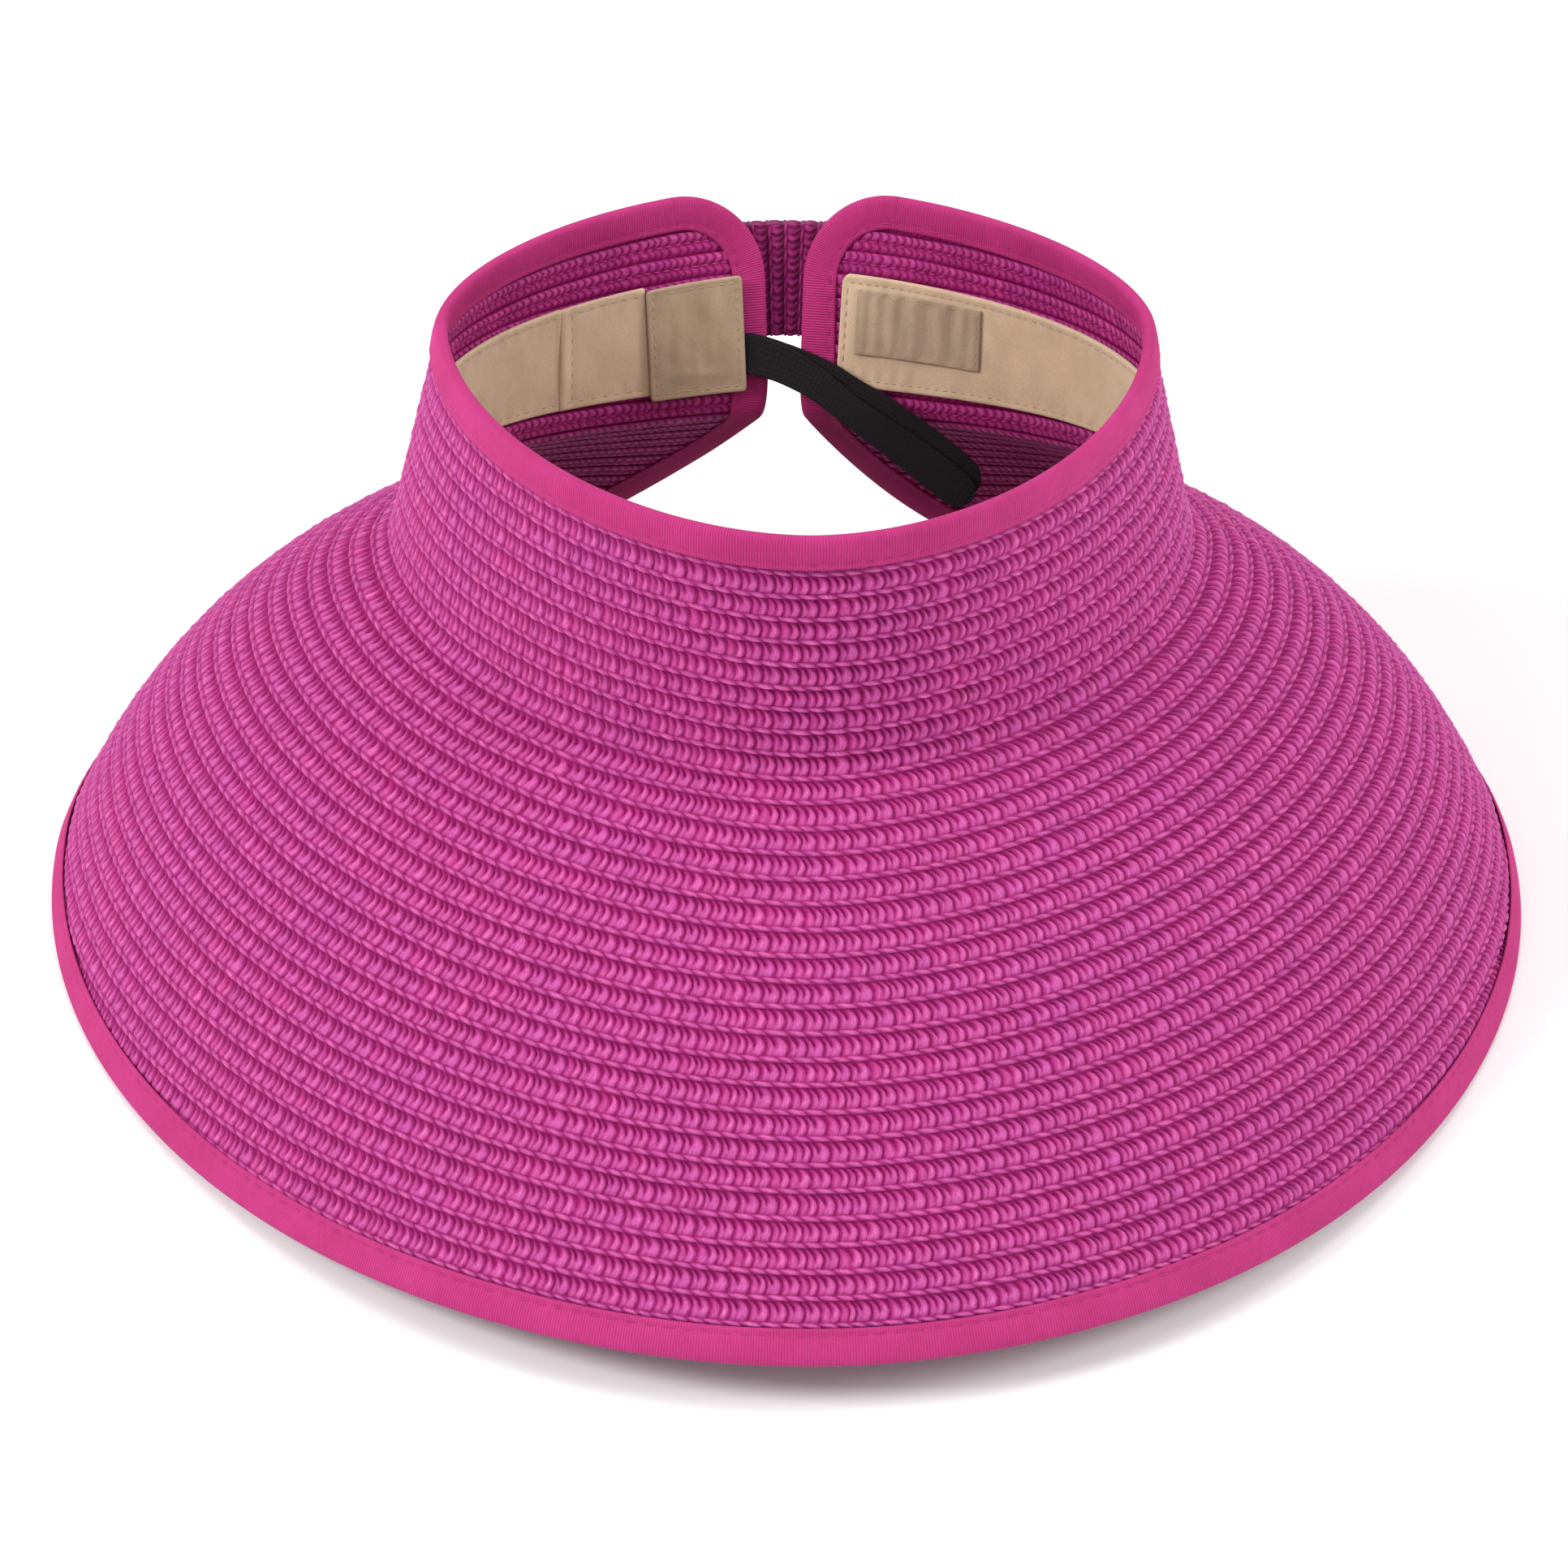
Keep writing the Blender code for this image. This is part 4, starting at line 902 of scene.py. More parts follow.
# ------------------------------------------------------------ flat cloth panels on the surface
def arc_len(p0, p1, s):
    f = np.linspace(p0, p1, 200)
    v = look(TAB_V, f, np.full_like(f, s))
    return float(((v[1:] + v[:-1]) / 2 * np.diff(f)).sum())


def panel(name, p0, p1, s0, s1, h, thick, mat, body, nodes=(), step=0.8, corner=1.0, shape=None, hem=0.0, hem_at=2.0, ribs=None):
    """Rounded rectangle of cloth between bearings p0..p1 (degrees) and distances s0..s1, its two faces thick apart.
    shape(U, V, W, H) adds relief (mm, away from the sheet) to the face that shows. h < 0 lies inside the crown."""
    p0, p1 = math.radians(p0), math.radians(p1)
    f0 = s0 if callable(s0) else (lambda p: np.full_like(p, s0))
    f1 = s1 if callable(s1) else (lambda p: np.full_like(p, s1))
    pm = (p0 + p1) / 2
    sm = float((f0(np.array([pm])) + f1(np.array([pm])))[0] / 2)
    W = arc_len(p0, p1, sm)
    H = float((f1(np.array([pm])) - f0(np.array([pm])))[0])
    nu, nv = max(8, int(W / step)), max(6, int(H / step))
    u = np.concatenate([[0, 0.12, 0.35], np.linspace(0.8, W - 0.8, nu), [W - 0.35, W - 0.12, W]])
    v = np.concatenate([[0, 0.12, 0.35], np.linspace(0.8, H - 0.8, nv), [H - 0.35, H - 0.12, H]])
    U, V = np.meshgrid(u, v, indexing="ij")
    # round the corners by pulling the rim in
    c = np.where(U < W / 2, corner[0], corner[1]) if isinstance(corner, tuple) else np.full_like(U, corner)
    cu = np.minimum(U, W - U)
    cv = np.minimum(V, H - V)
    du, dv = np.clip(c - cu, 0, None), np.clip(c - cv, 0, None)
    rr = np.hypot(du, dv)
    k = np.where(rr > 1e-9, np.maximum(du, dv) / np.maximum(rr, 1e-9), 1.0)
    Uc = np.where(U < W / 2, c, W - c)
    Vc = np.where(V < H / 2, c, H - c)
    both = (du > 0) & (dv > 0)
    U2 = np.where(both, Uc + (U - Uc) * k, U)
    V2 = np.where(both, Vc + (V - Vc) * k, V)
    phi = p0 + U2 / W * (p1 - p0)
    a, b = f0(phi.ravel()).reshape(phi.shape), f1(phi.ravel()).reshape(phi.shape)
    s = a + V2 / H * (b - a)
    rim = np.minimum(np.minimum(U, W - U), np.minimum(V, H - V))
    edge = np.sqrt(np.clip(1 - (1 - np.clip(rim / 0.45, 0, 1)) ** 2, 0, 1))
    sgn = 1.0 if h > 0 else -1.0
    rel = shape(U2, V2, W, H) if shape else 0.0
    if hem:
        e = np.minimum(np.minimum(U2, W - U2), np.minimum(V2, H - V2))
        rel = rel + hem * ease((hem_at + 0.35 - e) / 0.5) - 0.16 * np.exp(-((e - hem_at) / 0.4) ** 2)
    hh = h(phi) if callable(h) else np.full_like(phi, h)
    top = np.abs(hh) + thick / 2 + rel * edge - (1 - edge) * thick * 0.42
    bot = np.abs(hh) - thick / 2 + (1 - edge) * thick * 0.42
    A = look(TAB_P, phi, s) + look(TAB_N, phi, s) * (sgn * top)[..., None]
    B = look(TAB_P, phi, s) + look(TAB_N, phi, s) * (sgn * bot)[..., None]
    n, m = U.shape
    V_ = np.concatenate([A.reshape(-1, 3), B.reshape(-1, 3)]) * MM
    i, j = np.arange(n - 1)[:, None], np.arange(m - 1)[None, :]
    q = np.stack([i * m + j, i * m + j + 1, (i + 1) * m + j + 1, (i + 1) * m + j], -1).reshape(-1, 4)
    o = n * m
    q2 = q[:, ::-1] + o
    rimi = np.concatenate([np.arange(n) * m, (n - 1) * m + np.arange(1, m), (np.arange(n - 1)[::-1]) * m + m - 1, np.arange(1, m - 1)[::-1]])
    r2 = np.roll(rimi, -1)
    q3 = np.stack([rimi, r2, r2 + o, rimi + o], -1)
    # the top grid's winding runs one way round, so the rim follows it
    q3 = q3 if True else q3[:, ::-1]
    lay = np.stack([U2, V2, np.zeros_like(U2)], -1).reshape(-1, 3)
    ob = mesh(name, V_, np.concatenate([q, q2, q3]), np.concatenate([lay, lay + [0.3, 0.3, 1]]))
    finish_piece(ob, mat, body, nodes)
    info = dict(p0=p0, p1=p1, f0=f0, f1=f1, W=W, H=H, h=hh.mean() if not callable(h) else h, sgn=sgn, thick=thick, shape=shape)
    return ob, info


def seam(name, info, pts, mat, body, slot, height=0.0, **kw):
    """Stitches on a panel along a polyline given in panel millimetres."""
    pts = np.asarray(pts, float)
    seg = np.concatenate([[0], np.cumsum(np.hypot(*np.diff(pts, axis=0).T))])
    run = np.arange(0, seg[-1], 0.4)
    u, v = np.interp(run, seg, pts[:, 0]), np.interp(run, seg, pts[:, 1])
    phi = info["p0"] + u / info["W"] * (info["p1"] - info["p0"])
    a, b = info["f0"](phi), info["f1"](phi)
    s = a + v / info["H"] * (b - a)
    rel = info["shape"](u, v, info["W"], info["H"]) if info["shape"] else 0.0
    hh = info["h"](phi) if callable(info["h"]) else info["h"]
    top = np.abs(hh) + info["thick"] / 2 + rel - 0.10 + height
    N = look(TAB_N, phi, s) * info["sgn"]
    P = look(TAB_P, phi, s) + N * top[:, None]
    return dashes(name, P, N, run, mat, body, slot, **kw)


BAND_H = -1.95
band_top = lambda p: 22.5 + 1.5 * np.cos(p)
band_low = lambda p: 50.5 + 3.0 * np.cos(p) ** 2 * (np.cos(p) > 0)


def band_shape(seed):
    def f(U, V, W, H):
        e = np.minimum(V, H - V)
        puck = 0.16 * np.sin(2 * np.pi * U / 5.1 + 1.6 * np.sin(U / 13.0)) * np.exp(-((e - 3.4) / 2.4) ** 2) * (0.5 + 0.5 * smooth_noise(U, seed + 5, 21.0))
        wave = 0.36 * smooth_noise(U + V * 0.55, seed, 11.0) * np.sin(np.pi * np.clip(V / H, 0, 1))
        fine = 0.08 * smooth_noise(U - V * 0.3, seed + 1, 4.0)
        return puck + wave + fine
    return f


def border(W, H, e, skip=()):
    return [(e, e), (W - e, e), (W - e, H - e), (e, H - e), (e, e)]


KW = dict(length=1.9, pitch=2.9, radius=0.15, sink=0.3, jitter=0.05)
ob, inf = panel("sweatband_cotton", -129.8, 166.6, band_top, band_low, BAND_H, 1.0, COTTON, "shell", ("sweatband",), 0.7, (0.5, 3.0),
                band_shape(11), hem=0.14)
W, H = inf["W"], inf["H"]
seam("sweatband_top_stitch", inf, [(0.8, 2.0), (W - 2, 2.0)], BEIGE_THREAD, "shell", "cotton", **KW)
seam("sweatband_low_stitch", inf, [(0.8, H - 2.0), (W - 2, H - 2.0)], BEIGE_THREAD, "shell", "cotton", **KW)
seam("sweatband_end_stitch", inf, [(W - 2.0, 3), (W - 2.0, H - 3)], BEIGE_THREAD, "shell", "cotton", **KW)


def left_shape(U, V, W, H):
    # the join: a turned fold standing up along the seam, and light creases off it
    fold = 0.35 * np.exp(-((U - W + 1.6) / 0.8) ** 2) - 0.25 * np.exp(-((U - W + 3.6) / 0.5) ** 2)
    return band_shape(23)(U, V, W, H) + fold * ease(np.minimum(V, H - V) / 1.0)


ob, inf = panel("sweatband_join_panel", -148.2, -129.3, band_top, band_low, BAND_H - 0.28, 0.8, COTTON, "shell", ("sweatband_left_panel",), 0.7,
                0.8, left_shape, hem=0.14)
W, H = inf["W"], inf["H"]
seam("join_panel_top_stitch", inf, [(1, 2.0), (W - 1, 2.0)], BEIGE_THREAD, "shell", "cotton", **KW)
seam("join_panel_low_stitch", inf, [(1, H - 2.0), (W - 1, H - 2.0)], BEIGE_THREAD, "shell", "cotton", **KW)
seam("join_panel_seam_stitch", inf, [(W - 3.6, 1.5), (W - 3.6, H - 1.5)], BEIGE_THREAD, "shell", "cotton", **KW)


def patch_shape(U, V, W, H):
    x, y = U / W, V / H
    # drape folds fanning from the sewn top towards the lower corner
    g = np.sin(np.pi * np.clip((x - 0.06) / 0.88, 0, 1)) * np.sin(np.pi * np.clip((y - 0.1) / 0.8, 0, 1))
    d1 = x - (0.22 + 0.16 * y)
    d2 = x - (0.62 + 0.10 * y)
    f = 0.42 * np.exp(-(d1 / 0.07) ** 2) - 0.28 * np.exp(-((d1 - 0.13) / 0.07) ** 2) + 0.30 * np.exp(-(d2 / 0.08) ** 2)
    low = 0.30 * np.exp(-((y - 0.82 + 0.10 * (x - 0.5)) / 0.05) ** 2)
    return (f + low) * g * 2.3 + 0.12 * smooth_noise(U + V, 41, 4.0) * g


ob, inf = panel("sweatband_corner_patch", -169.8, -148.0, lambda p: band_top(p) + 0.6, lambda p: band_low(p) + 1.2, -3.55, 0.8, SHADED_PATCH_COTTON, "shell",
                ("sweatband_end_patch",), 0.6, 1.2, patch_shape, hem=0.16, hem_at=1.5)
W, H = inf["W"], inf["H"]
seam("corner_patch_stitch", inf, [(1.7, 1.7), (W - 1.7, 1.7), (W - 1.7, H - 1.7), (1.7, H - 1.7), (1.7, 1.7)], BEIGE_THREAD, "shell", "cotton",
     length=1.8, pitch=2.6, radius=0.16, sink=0.2, jitter=0.04)


def label_shape(U, V, W, H):
    k = ease(np.minimum(np.minimum(U, W - U), np.minimum(V, H - V)) / 2.0)
    r = 0.24 * np.sin(2 * np.pi * U / 5.2 + 1.9 * np.sin(U / 4.6)) + 0.17 * smooth_noise(U, 61, 1.9)
    return r * k * (0.45 + 0.55 * smooth_noise(V + U * 0.3, 67, 7.0) ** 2 + 0.2)


ob, inf = panel("blank_size_label", 136.0, 163.0, 24.4, 41.6, -3.0, 0.40, SHADED_LABEL, "shell", ("size_label",), 0.5, 0.6, label_shape)
W, H = inf["W"], inf["H"]
seam("label_stitch", inf, [(1, 1.0), (W - 1, 1.0), (W - 1, H - 1.0), (1, H - 1.0), (1, 1.0)], BEIGE_THREAD, "shell", "label",
     length=1.6, pitch=2.4, radius=0.13, sink=0.3, jitter=0.04)


# ------------------------------------------------------------ elastic roll-up loop
STRAP_RUN = ((-13.4, 56.5, -38.6), (-11.0, 56.35, -38.5), (-8.8, 56.1, -38.4), (-5.6, 54.9, -38.7), (-0.5, 53.7, -40.0), (5.0, 52.6, -42.2),
             (10.0, 51.3, -44.6), (16.1, 49.4, -48.5), (25.4, 47.0, -54.5), (35.9, 45.0, -62.3), (45.0, 43.6, -69.6), (49.0, 43.1, -72.6))
STRAP_WIDTH = (12.4, 12.4, 12.2, 11.8, 11.2, 10.4, 9.6, 9.0, 9.6, 10.8, 10.8, 7.0)
FACE = np.array([0.0, -0.85, 0.53])
LOOP_HINGE = (-0.009863, 0.11602, 0.111353)
LOOP_RUN = np.array([0.0017, -0.0002, 0.0])


def spline(pts, n):
    p = np.asarray(pts, float)
    e = np.concatenate([[2 * p[0] - p[1]], p, [2 * p[-1] - p[-2]]])
    t = np.linspace(0, len(p) - 1, n)
    i = np.minimum(t.astype(int), len(p) - 2)
    f = (t - i)
    f = f[:, None] if p.ndim > 1 else f
    a, b, c, d = e[i], e[i + 1], e[i + 2], e[i + 3]
    return 0.5 * (2 * b + (c - a) * f + (2 * a - 5 * b + 4 * c - d) * f ** 2 + (3 * b - a - 3 * c + d) * f ** 3)


def elastic_strip(name, off_w, off_n, wmul, t0, t1, thick, nodes, mat):
    """One layer of the flat elastic: ribbed lengthwise, edges rounded."""
    n = 260
    c = spline(STRAP_RUN, n)
    w = spline(STRAP_WIDTH, n)
    t = np.gradient(c, axis=0)
    seg = np.linalg.norm(t, axis=1)
    run = np.cumsum(seg)
    t /= seg[:, None]
    start = np.array([0.0, -0.957, 0.29])
    bl = ease((np.linspace(0, 1, n) - 0.2) / 0.3)[:, None]
    wid = np.cross(start * (1 - bl) + FACE * bl, t)
    wid /= np.linalg.norm(wid, axis=1)[:, None]
    nor = np.cross(t, wid)
    k0, k1 = int(t0 * (n - 1)), int(t1 * (n - 1)) + 1
    sl = slice(k0, k1)
    x = np.linspace(-1, 1, 27)
    u = np.linspace(0, 1, n)
    tip = np.sqrt(np.clip(1 - ((u - 0.88) / 0.122) ** 2, 0.03, 1))
    tip = np.where(u > 0.88, tip, 1.0)
    half = np.clip(w / 2 * wmul, 2.6, None) * tip
    half = np.where(u > 0.88, np.interp(0.88, u, w / 2 * wmul) * tip, half)
    flat = 0.46 + 0.54 * ease((u - 0.20) / 0.14)
    rib = 0.09 * np.cos(x * np.pi * 6.5)
    ed = np.sqrt(np.clip(1 - np.clip((np.abs(x) - 0.86) / 0.14, 0, 1) ** 2, 0, 1))
    top = ((thick / 2 + rib) * ed + 0.02)[None, :] * flat[:, None]
    ow = np.interp(u, [0, 0.35, 0.7, 1], off_w)
    on = np.interp(u, [0, 0.35, 0.7, 1], off_n) * flat
    cup = 0.25 * (x ** 2)[None, :] * np.sin(np.pi * np.clip(u, 0, 1))[:, None]
    cross = 0.05 * np.cos(2 * np.pi * run / 1.1)[:, None] * (ed[None, :] * flat[:, None])
    A = c[:, None, :] + wid[:, None, :] * (x[None, :] * half[:, None] + ow[:, None])[..., None] + nor[:, None, :] * (on[:, None] + cup + top + cross)[..., None]
    B = c[:, None, :] + wid[:, None, :] * (x[None, :] * half[:, None] + ow[:, None])[..., None] + nor[:, None, :] * (on[:, None] + cup - top - cross)[..., None]
    ring = np.concatenate([A, B[:, ::-1]], 1)[sl]
    m = ring.shape[1]
    V_ = place(ring.reshape(-1, 3))
    lay = np.stack([np.broadcast_to(run[:, None], (n, m)), np.broadcast_to(np.concatenate([x, x[::-1] + 0.2])[None, :] * 6, (n, m)), np.zeros((n, m))], -1)[sl]
    ob = mesh(name, V_, ring_quads(ring.shape[0], m), lay.reshape(-1, 3))
    # the hinge line and a span of about 3 mm round it go to finish_piece, which only bakes the transform
    fold = np.array(LOOP_HINGE)
    return finish_piece(ob, mat, ("shell", "roll_loop", tuple(fold - LOOP_RUN), tuple(fold + LOOP_RUN)), nodes)


elastic_strip("roll_up_elastic_front", (0, -0.2, -2.1, -1.5), (0.62, 0.62, 0.80, 0.7), 0.84, 0.0, 1.0, 0.95, ("elastic_loop",), LIT_ELASTIC_TOP)
elastic_strip("roll_up_elastic_back", (0, 0.4, 2.9, 2.0), (-0.62, -0.62, -0.84, -0.7), 0.84, 0.0, 1.0, 0.95, ("elastic_loop",), ELASTIC)


def ribbed(U, V, W, H):
    return 0.08 * np.cos(2 * np.pi * V / 1.7)


panel("elastic_stitched_end", -167.4, -153.0, 35.6, 49.2, -2.35, 0.8, ELASTIC, "shell", ("elastic_sewn_end",), 0.5, 0.5, ribbed)


# ------------------------------------------------------------ braid sheets of the closure and the bow
def sheet_relief(a, b, width, seed):
    """Relief, painted shade and highlight, and tone of side-by-side braid rows: a along, b across (mm)."""
    k = np.floor(b / width).astype(int)
    t = (b - k * width) * 6.15 / width
    rs = np.random.RandomState(seed)
    offs = rs.uniform(0, 1, 64)
    sh = bulge(t)
    u = (a - sh) / (PERIOD * 0.9) + offs[k % 64] + 0.15 * smooth_noise(a + 40 * k, seed + 3, 12.0)
    uc = (a - sh) / (PERIOD * 0.9) + offs[(k + 1) % 64]
    j = rs.uniform(-1, 1, 4096)[(np.floor(u).astype(int) * 7 + k * 131) % 4096]
    jc = rs.uniform(-1, 1, 4096)[(np.floor(uc).astype(int) * 7 + k * 131) % 4096]
    h = outer_height(np.maximum(t, -0.05), u, uc, j, jc)
    f, fc = u - np.floor(u), uc - np.floor(uc)
    painted_shading = painted_strand_shading(t, f, fc, j, jc)
    shade_tone = np.stack([painted_shading, 0.5 + 0.5 * np.where(t < 4.74, j, jc), np.ones_like(t), np.ones_like(t)], -1)
    lay = np.stack([u * PERIOD, t + k * 7.0, np.zeros_like(t)], -1)
    return h, shade_tone, lay


def braid_panel(name, p0, p1, s0, s1, lift, body, nodes, rows, seed, step=0.4, thick=1.0):
    """Flat strip of braid rows running round the head, between bearings p0..p1 degrees."""
    p0, p1 = math.radians(p0), math.radians(p1)
    W = arc_len(p0, p1, (s0 + s1) / 2)
    H = s1 - s0
    wid = H / rows
    u = np.linspace(0, W, int(W / step))
    t = np.concatenate([OUT_T[2:] / 6.15 * wid + r * wid for r in range(rows)])
    t = np.unique(np.clip(t, 0, H))
    t = np.concatenate([[0], t[t > 0.05], [H]]) if t[0] > 0 else t
    U, V = np.meshgrid(u, t, indexing="ij")
    h, shade_tone, lay = sheet_relief(U, V, wid, seed)
    rim = np.minimum(np.minimum(U, W - U), np.minimum(V, H - V))
    e = np.sqrt(np.clip(1 - (1 - np.clip(rim / 1.0, 0, 1)) ** 2, 0, 1))
    # rounded corners
    c = 2.0
    du, dv = np.clip(c - np.minimum(U, W - U), 0, None), np.clip(c - np.minimum(V, H - V), 0, None)
    rr = np.hypot(du, dv)
    k = np.where(rr > 1e-9, np.maximum(du, dv) / np.maximum(rr, 1e-9), 1.0)
    both = (du > 0) & (dv > 0)
    Uc, Vc = np.where(U < W / 2, c, W - c), np.where(V < H / 2, c, H - c)
    U2, V2 = np.where(both, Uc + (U - Uc) * k, U), np.where(both, Vc + (V - Vc) * k, V)
    phi = p0 + U2 / W * (p1 - p0)
    s = s0 + V2
    hc = lift(phi) if callable(lift) else np.full_like(phi, lift)
    top = hc + (-0.35 + h * 0.85) * e
    f2, _, _ = sheet_relief(U + 1.7, H - V, wid, seed + 9)
    bot = hc - thick / 2 * e - 0.02 + 0.12 * e - (f2 - 0.4) * 0.22 * e
    A = look(TAB_P, phi, s) + look(TAB_N, phi, s) * top[..., None]
    B = look(TAB_P, phi, s) + look(TAB_N, phi, s) * np.minimum(bot, top - 0.25)[..., None]
    n, m = U.shape
    i, j = np.arange(n - 1)[:, None], np.arange(m - 1)[None, :]
    q = np.stack([i * m + j, i * m + j + 1, (i + 1) * m + j + 1, (i + 1) * m + j], -1).reshape(-1, 4)
    o = n * m
    rimi = np.concatenate([np.arange(n) * m, (n - 1) * m + np.arange(1, m), (np.arange(n - 1)[::-1]) * m + m - 1, np.arange(1, m - 1)[::-1]])
    r2 = np.roll(rimi, -1)
    q3 = np.stack([rimi, r2, r2 + o, rimi + o], -1)
    ob = mesh(name, np.concatenate([A.reshape(-1, 3), B.reshape(-1, 3)]) * MM, np.concatenate([q, q[:, ::-1] + o, q3]),
              np.concatenate([lay.reshape(-1, 3), lay.reshape(-1, 3) + [0, 0, 1]]), np.concatenate([shade_tone.reshape(-1, 4)] * 2))
    return finish_piece(ob, BRAID, body, nodes)


STRAP_LIFT = lambda p: 1.95 + 2.35 * ease((math.radians(221.6) - p) / math.radians(8.0))
braid_panel("closure_strap_braid", 138.0, 221.5, 13.0, 36.0, STRAP_LIFT, "bow_strap", ("closure_strap",), 4, 201)
braid_panel("closure_strap_sewn_base", 223.6, 235.0, 13.0, 36.0, 1.95, "shell", ("closure_strap_base",), 4, 211)


def pile_shape(seed, amp, period):
    def f(U, V, W, H):
        k = ease(np.minimum(np.minimum(U, W - U), np.minimum(V, H - V)) / 1.6)
        v = np.random.RandomState(seed).uniform(-1, 1, (256, 256))
        i, j = np.floor(U / period).astype(int) % 256, np.floor(V / period).astype(int) % 256
        return amp * v[i, j] * k
    return f


def hook_shape(U, V, W, H):
    k = ease(np.minimum(np.minimum(U, W - U), np.minimum(V, H - V)) / 1.4)
    return 0.18 * k * np.maximum(np.sin(2 * np.pi * U / 1.5), 0) * np.maximum(np.sin(2 * np.pi * V / 1.5), 0)


ob, inf = panel("loop_pile_patch", 137.0, 163.4, 14.0, 36.5, 1.62, 0.7, PILE, "shell", ("closure_loop_patch",), 0.45, 2.0, pile_shape(91, 0.10, 0.45))
W, H = inf["W"], inf["H"]
seam("loop_patch_stitch", inf, border(W, H, 1.3), THREAD, "shell", "hook", length=1.9, pitch=2.8, radius=0.14, sink=0.6)
ob, inf = panel("hook_pile_patch", 139.0, 163.0, 14.6, 35.4, 2.86, 0.9, HOOK, "bow_strap", ("closure_hook_patch",), 0.38, 2.0, None)

# bow lobes and knot
KNOT_HALF = math.radians(10.6)
LOBE_REACH = math.radians(40.5)
LOBE_S = 24.7


def lobe(name, side, seed):
    """A flattened loop of braid, pinched where it enters the knot."""
    n, m = 130, 150
    u = np.linspace(0, 1, n)
    ang = math.radians(0.35) + u * (LOBE_REACH - math.radians(0.35))
    k = ease((ang - KNOT_HALF) / math.radians(15))
    tip = np.sqrt(np.clip(1 - np.clip((u - 0.72) / 0.28, 0, 1) ** 2 * 0.92, 0, 1))
    half_s = (11.4 + 3.4 * k) * (0.55 + 0.45 * tip) - 0.5
    half_h = (2.3 + 2.4 * k) * tip - 0.45
    h0 = 7.55 + 2.5 * k
    th = np.arange(m) * 2 * math.pi / m
    cs, sn = np.cos(th), np.sin(th)
    ds = np.sign(cs) * np.abs(cs) ** 0.7
    dh = np.sign(sn) * np.abs(sn) ** 0.7
    base_s = half_s[:, None] * ds[None, :]
    base_h = half_h[:, None] * dh[None, :]
    # gathers running out of the knot
    g = np.exp(-((ang - KNOT_HALF) / math.radians(9)) ** 2)[:, None]
    base_h = base_h * (1 + 0.10 * g * np.cos(5 * base_s / 11.4 * np.pi))
    a = np.broadcast_to((u * 47.0)[:, None], base_s.shape)
    b = np.broadcast_to(((half_s[:, None] + base_s) / (2 * half_s[:, None])) * 22.0 + np.where(sn < 0, 44, 0)[None, :], base_s.shape)
    rel, shade_tone, lay = sheet_relief(a, b, 5.5, seed)
    off = (rel - 0.45) * 0.62
    nrm_s = np.sign(cs) * np.abs(cs) ** 1.3
    nrm_h = np.sign(sn) * np.abs(sn) ** 0.6
    ln = np.hypot(nrm_s, nrm_h) + 1e-9
    S = LOBE_S + base_s + off * (nrm_s / ln)[None, :]
    Hh = h0[:, None] + base_h + off * (nrm_h / ln)[None, :]
    phi = np.broadcast_to((math.pi + side * ang)[:, None], S.shape)
    w = look(TAB_P, phi, S) + look(TAB_N, phi, S) * Hh[..., None]
    V_ = w.reshape(-1, 3)
    c0, c1 = w[0].mean(0), w[-1].mean(0)
    V_ = np.concatenate([V_, [c0, c1]]) * MM
    q = ring_quads(n, m, 0, True, False)
    kk = np.arange(m)
    t0 = np.stack([(kk + 1) % m, kk, np.full(m, n * m)], -1)
    t1 = np.stack([(n - 1) * m + kk, (n - 1) * m + (kk + 1) % m, np.full(m, n * m + 1)], -1)
    lay = np.concatenate([lay.reshape(-1, 3), [[0, 0, 0]] * 2])
    shade_tone = np.concatenate([shade_tone.reshape(-1, 4), [[0.5, 0.5, 1, 1]] * 2])
    ob = mesh(name, V_, q, lay, shade_tone, np.concatenate([t0, t1]))
    return finish_piece(ob, BRAID, "bow_strap", ("bow_loop_left" if side > 0 else "bow_loop_right",))


lobe("bow_lobe_left", 1, 301)
lobe("bow_lobe_right", -1, 311)


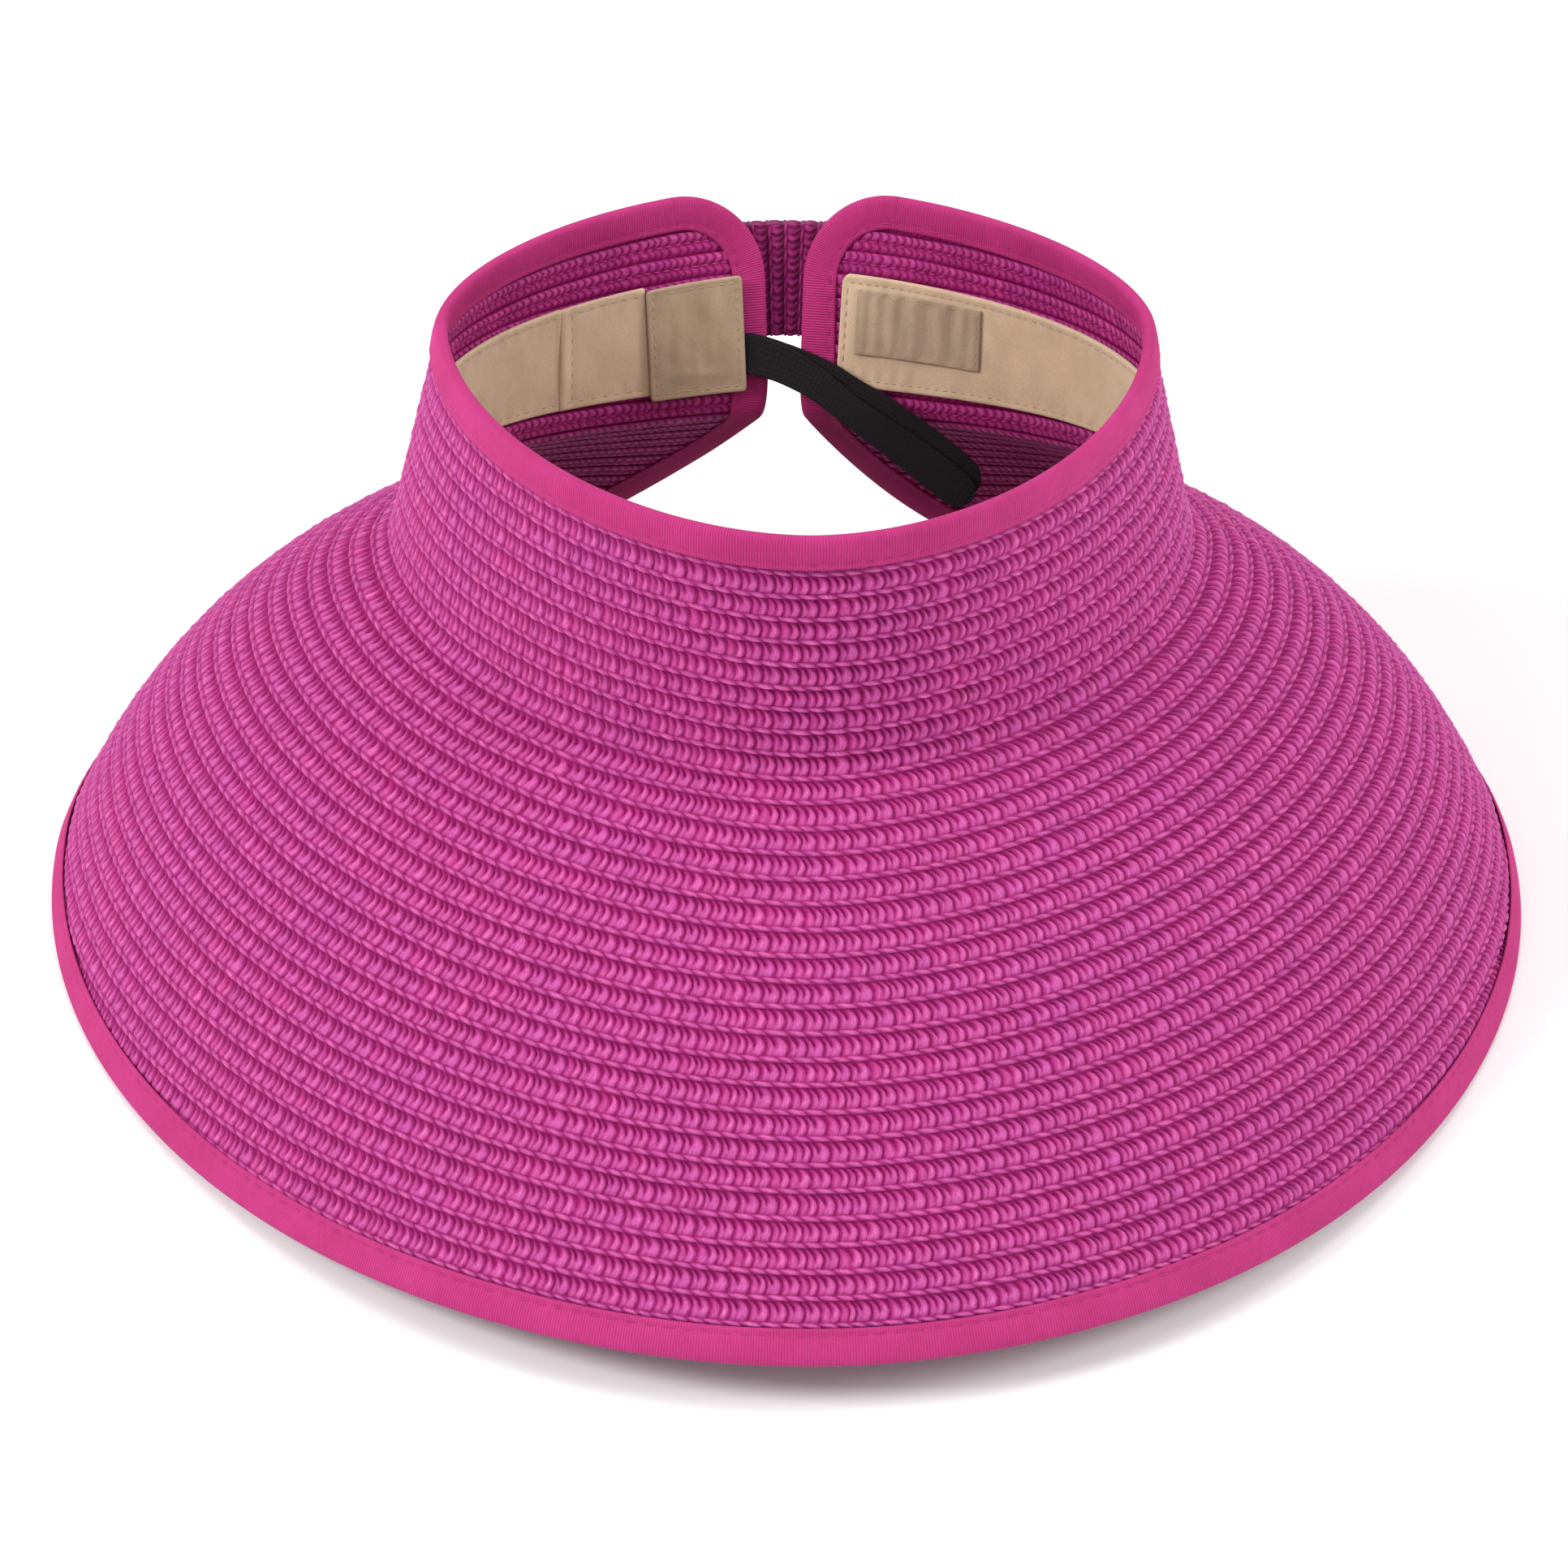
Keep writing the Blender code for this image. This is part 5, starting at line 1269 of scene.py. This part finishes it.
def knot():
    """Braid wrapped round the middle of the bow: rows run round the tube, side by side."""
    s0, s1, h0, h1, w, r = 9.6, 39.6, 1.95, 12.0, 1.4, 3.0
    pts = []
    for cs, ch, q, ry in ((s1 - r, h1 - r, 0, 1.0), (s0 + r, h1 - r, 1, 1.0), (s0 + r, h0 + r * 0.4, 2, 0.4), (s1 - r, h0 + r * 0.4, 3, 0.4)):
        for th in np.linspace(q * math.pi / 2, (q + 1) * math.pi / 2, 12):
            pts.append((cs + (r - 0.35) * math.cos(th), ch + (r * ry - 0.3) * math.sin(th)))
    pts = np.array(pts + [pts[0]])
    seg = np.concatenate([[0], np.cumsum(np.hypot(*np.diff(pts, axis=0).T))])
    a = np.arange(0, seg[-1], 0.36)
    m = len(a)
    S0, H0 = np.interp(a, seg, pts[:, 0]), np.interp(a, seg, pts[:, 1])
    ts, th = np.roll(S0, -1) - np.roll(S0, 1), np.roll(H0, -1) - np.roll(H0, 1)
    ln = np.hypot(ts, th)
    ns, nh = th / ln, -ts / ln
    cen = (S0.mean(), H0.mean())
    if ((S0 - cen[0]) * ns + (H0 - cen[1]) * nh).mean() < 0:
        ns, nh = -ns, -nh
    half = KNOT_HALF - 0.004
    Wk = 2 * half * 68.0
    rows = 6
    wid = Wk / rows
    b = np.unique(np.concatenate([OUT_T[2:] / 6.15 * wid + r_ * wid for r_ in range(rows)]).clip(0, Wk))
    b = np.concatenate([[0, 0.25], b[(b > 0.4) & (b < Wk - 0.4)], [Wk - 0.25, Wk]])
    A, B = np.meshgrid(b, a, indexing="ij")
    rel, shade_tone, lay = sheet_relief(B, A, wid, 401)
    edge = np.sqrt(np.clip(1 - (1 - np.clip(np.minimum(A, Wk - A) / 1.1, 0, 1)) ** 2, 0, 1))
    off = (-0.44 + rel * 0.46) * edge - 0.25 * (1 - edge)
    phi = math.pi - half + A / Wk * 2 * half
    outer = look(TAB_P, phi, S0[None, :] + ns[None, :] * off) + look(TAB_N, phi, S0[None, :] + 0 * off) * (H0[None, :] + nh[None, :] * off)[..., None]
    inn = -0.72 + 0 * off
    inner = look(TAB_P, phi, S0[None, :] + ns[None, :] * inn) + look(TAB_N, phi, S0[None, :] + 0 * off) * (H0[None, :] + nh[None, :] * inn)[..., None]
    n = len(b)
    V_ = np.concatenate([outer.reshape(-1, 3), inner.reshape(-1, 3)]) * MM
    i, j = np.arange(n - 1)[:, None], np.arange(m)[None, :]
    l = (j + 1) % m
    q = np.stack([i * m + j, i * m + l, (i + 1) * m + l, (i + 1) * m + j], -1).reshape(-1, 4)
    o = n * m
    jj = np.arange(m)
    ll = (jj + 1) % m
    e0 = np.stack([jj, jj + o, ll + o, ll], -1)
    e1 = np.stack([(n - 1) * m + jj, (n - 1) * m + ll, (n - 1) * m + ll + o, (n - 1) * m + jj + o], -1)
    ob = mesh("bow_knot_wrap", V_, np.concatenate([q, q[:, ::-1] + o, e0, e1]),
              np.concatenate([lay.reshape(-1, 3), lay.reshape(-1, 3)]), np.concatenate([shade_tone.reshape(-1, 4), shade_tone.reshape(-1, 4)]))
    # the knot wears the darker braid copy, which is painted shade
    return finish_piece(ob, SHADED_KNOT_BRAID, "bow_strap", ("bow_knot",))


knot()

# ------------------------------------------------------------ floor, light, camera
m, nt, bs = new_mat("studio_floor")
n1 = node(nt, "ShaderNodeTexNoise", in_Scale=3.0, in_Detail=3.0)
r = ramp(nt, [(0.3, (0.90, 0.90, 0.90)), (0.7, (0.925, 0.925, 0.925))])
nt.links.new(n1.outputs[0], r.inputs[0])
nt.links.new(r.outputs[0], bs.inputs["Base Color"])
bs.inputs["Roughness"].default_value = 0.9
me = bpy.data.meshes.new("floor")
R = 30.0
me.from_pydata([(-R, -R, -0.0006), (R, -R, -0.0006), (R, R, -0.0006), (-R, R, -0.0006)], [], [(0, 1, 2, 3)])
floor = bpy.data.objects.new("floor", me)
bpy.context.scene.collection.objects.link(floor)
me.materials.append(m)

world = bpy.data.worlds.new("studio")
bpy.context.scene.world = world
world.use_nodes = True
bg = world.node_tree.nodes["Background"]
bg.inputs[0].default_value = (1, 1, 1, 1)
bg.inputs[1].default_value = 0.66


def area(name, loc, target, size, power, color=(1, 1, 1)):
    l = bpy.data.lights.new(name, "AREA")
    l.shape = "DISK"
    l.size = size
    l.energy = power
    l.color = color
    o = bpy.data.objects.new(name, l)
    bpy.context.scene.collection.objects.link(o)
    o.location = loc
    o.rotation_euler = (Vector(target) - Vector(loc)).to_track_quat("-Z", "Y").to_euler()
    return o


area("key", (-1.65, -0.45, 1.30), (0, 0, 0.08), 0.8, 30.0)
area("fill", (1.65, -0.30, 1.15), (0, 0, 0.08), 1.0, 19.0)
area("top", (0.0, 0.15, 2.1), (0, 0, 0.08), 1.0, 8.0)

# camera: framed in the crown's own axes, then turned with it
EL, AZ, ROLL = (math.radians(v) for v in (31.66, -2.67, 0.93))
back = np.array([math.sin(AZ) * math.cos(EL), -math.cos(AZ) * math.cos(EL), math.sin(EL)])
right = np.cross(-back, [0, 0, 1.0])
right /= np.linalg.norm(right)
up = np.cross(right, -back)
r2 = right * math.cos(ROLL) + up * math.sin(ROLL)
u2 = -right * math.sin(ROLL) + up * math.cos(ROLL)
CAM_POS = (-59.1675, -1247.9086, 637.1952)
cam = bpy.data.cameras.new("camera")
cam.sensor_width = 36.0
cam.lens = 131.52
cam.clip_start, cam.clip_end = 0.05, 60.0
co = bpy.data.objects.new("camera", cam)
bpy.context.scene.collection.objects.link(co)
rx, ux, bx = turn(r2), turn(u2), turn(back)
pos = place(np.array([CAM_POS]))[0]
co.matrix_world = Matrix(((rx[0], ux[0], bx[0], pos[0]), (rx[1], ux[1], bx[1], pos[1]), (rx[2], ux[2], bx[2], pos[2]), (0, 0, 0, 1)))
bpy.context.scene.camera = co
bpy.context.scene.view_settings.view_transform = "Standard"
bpy.context.scene.view_settings.look = "None"
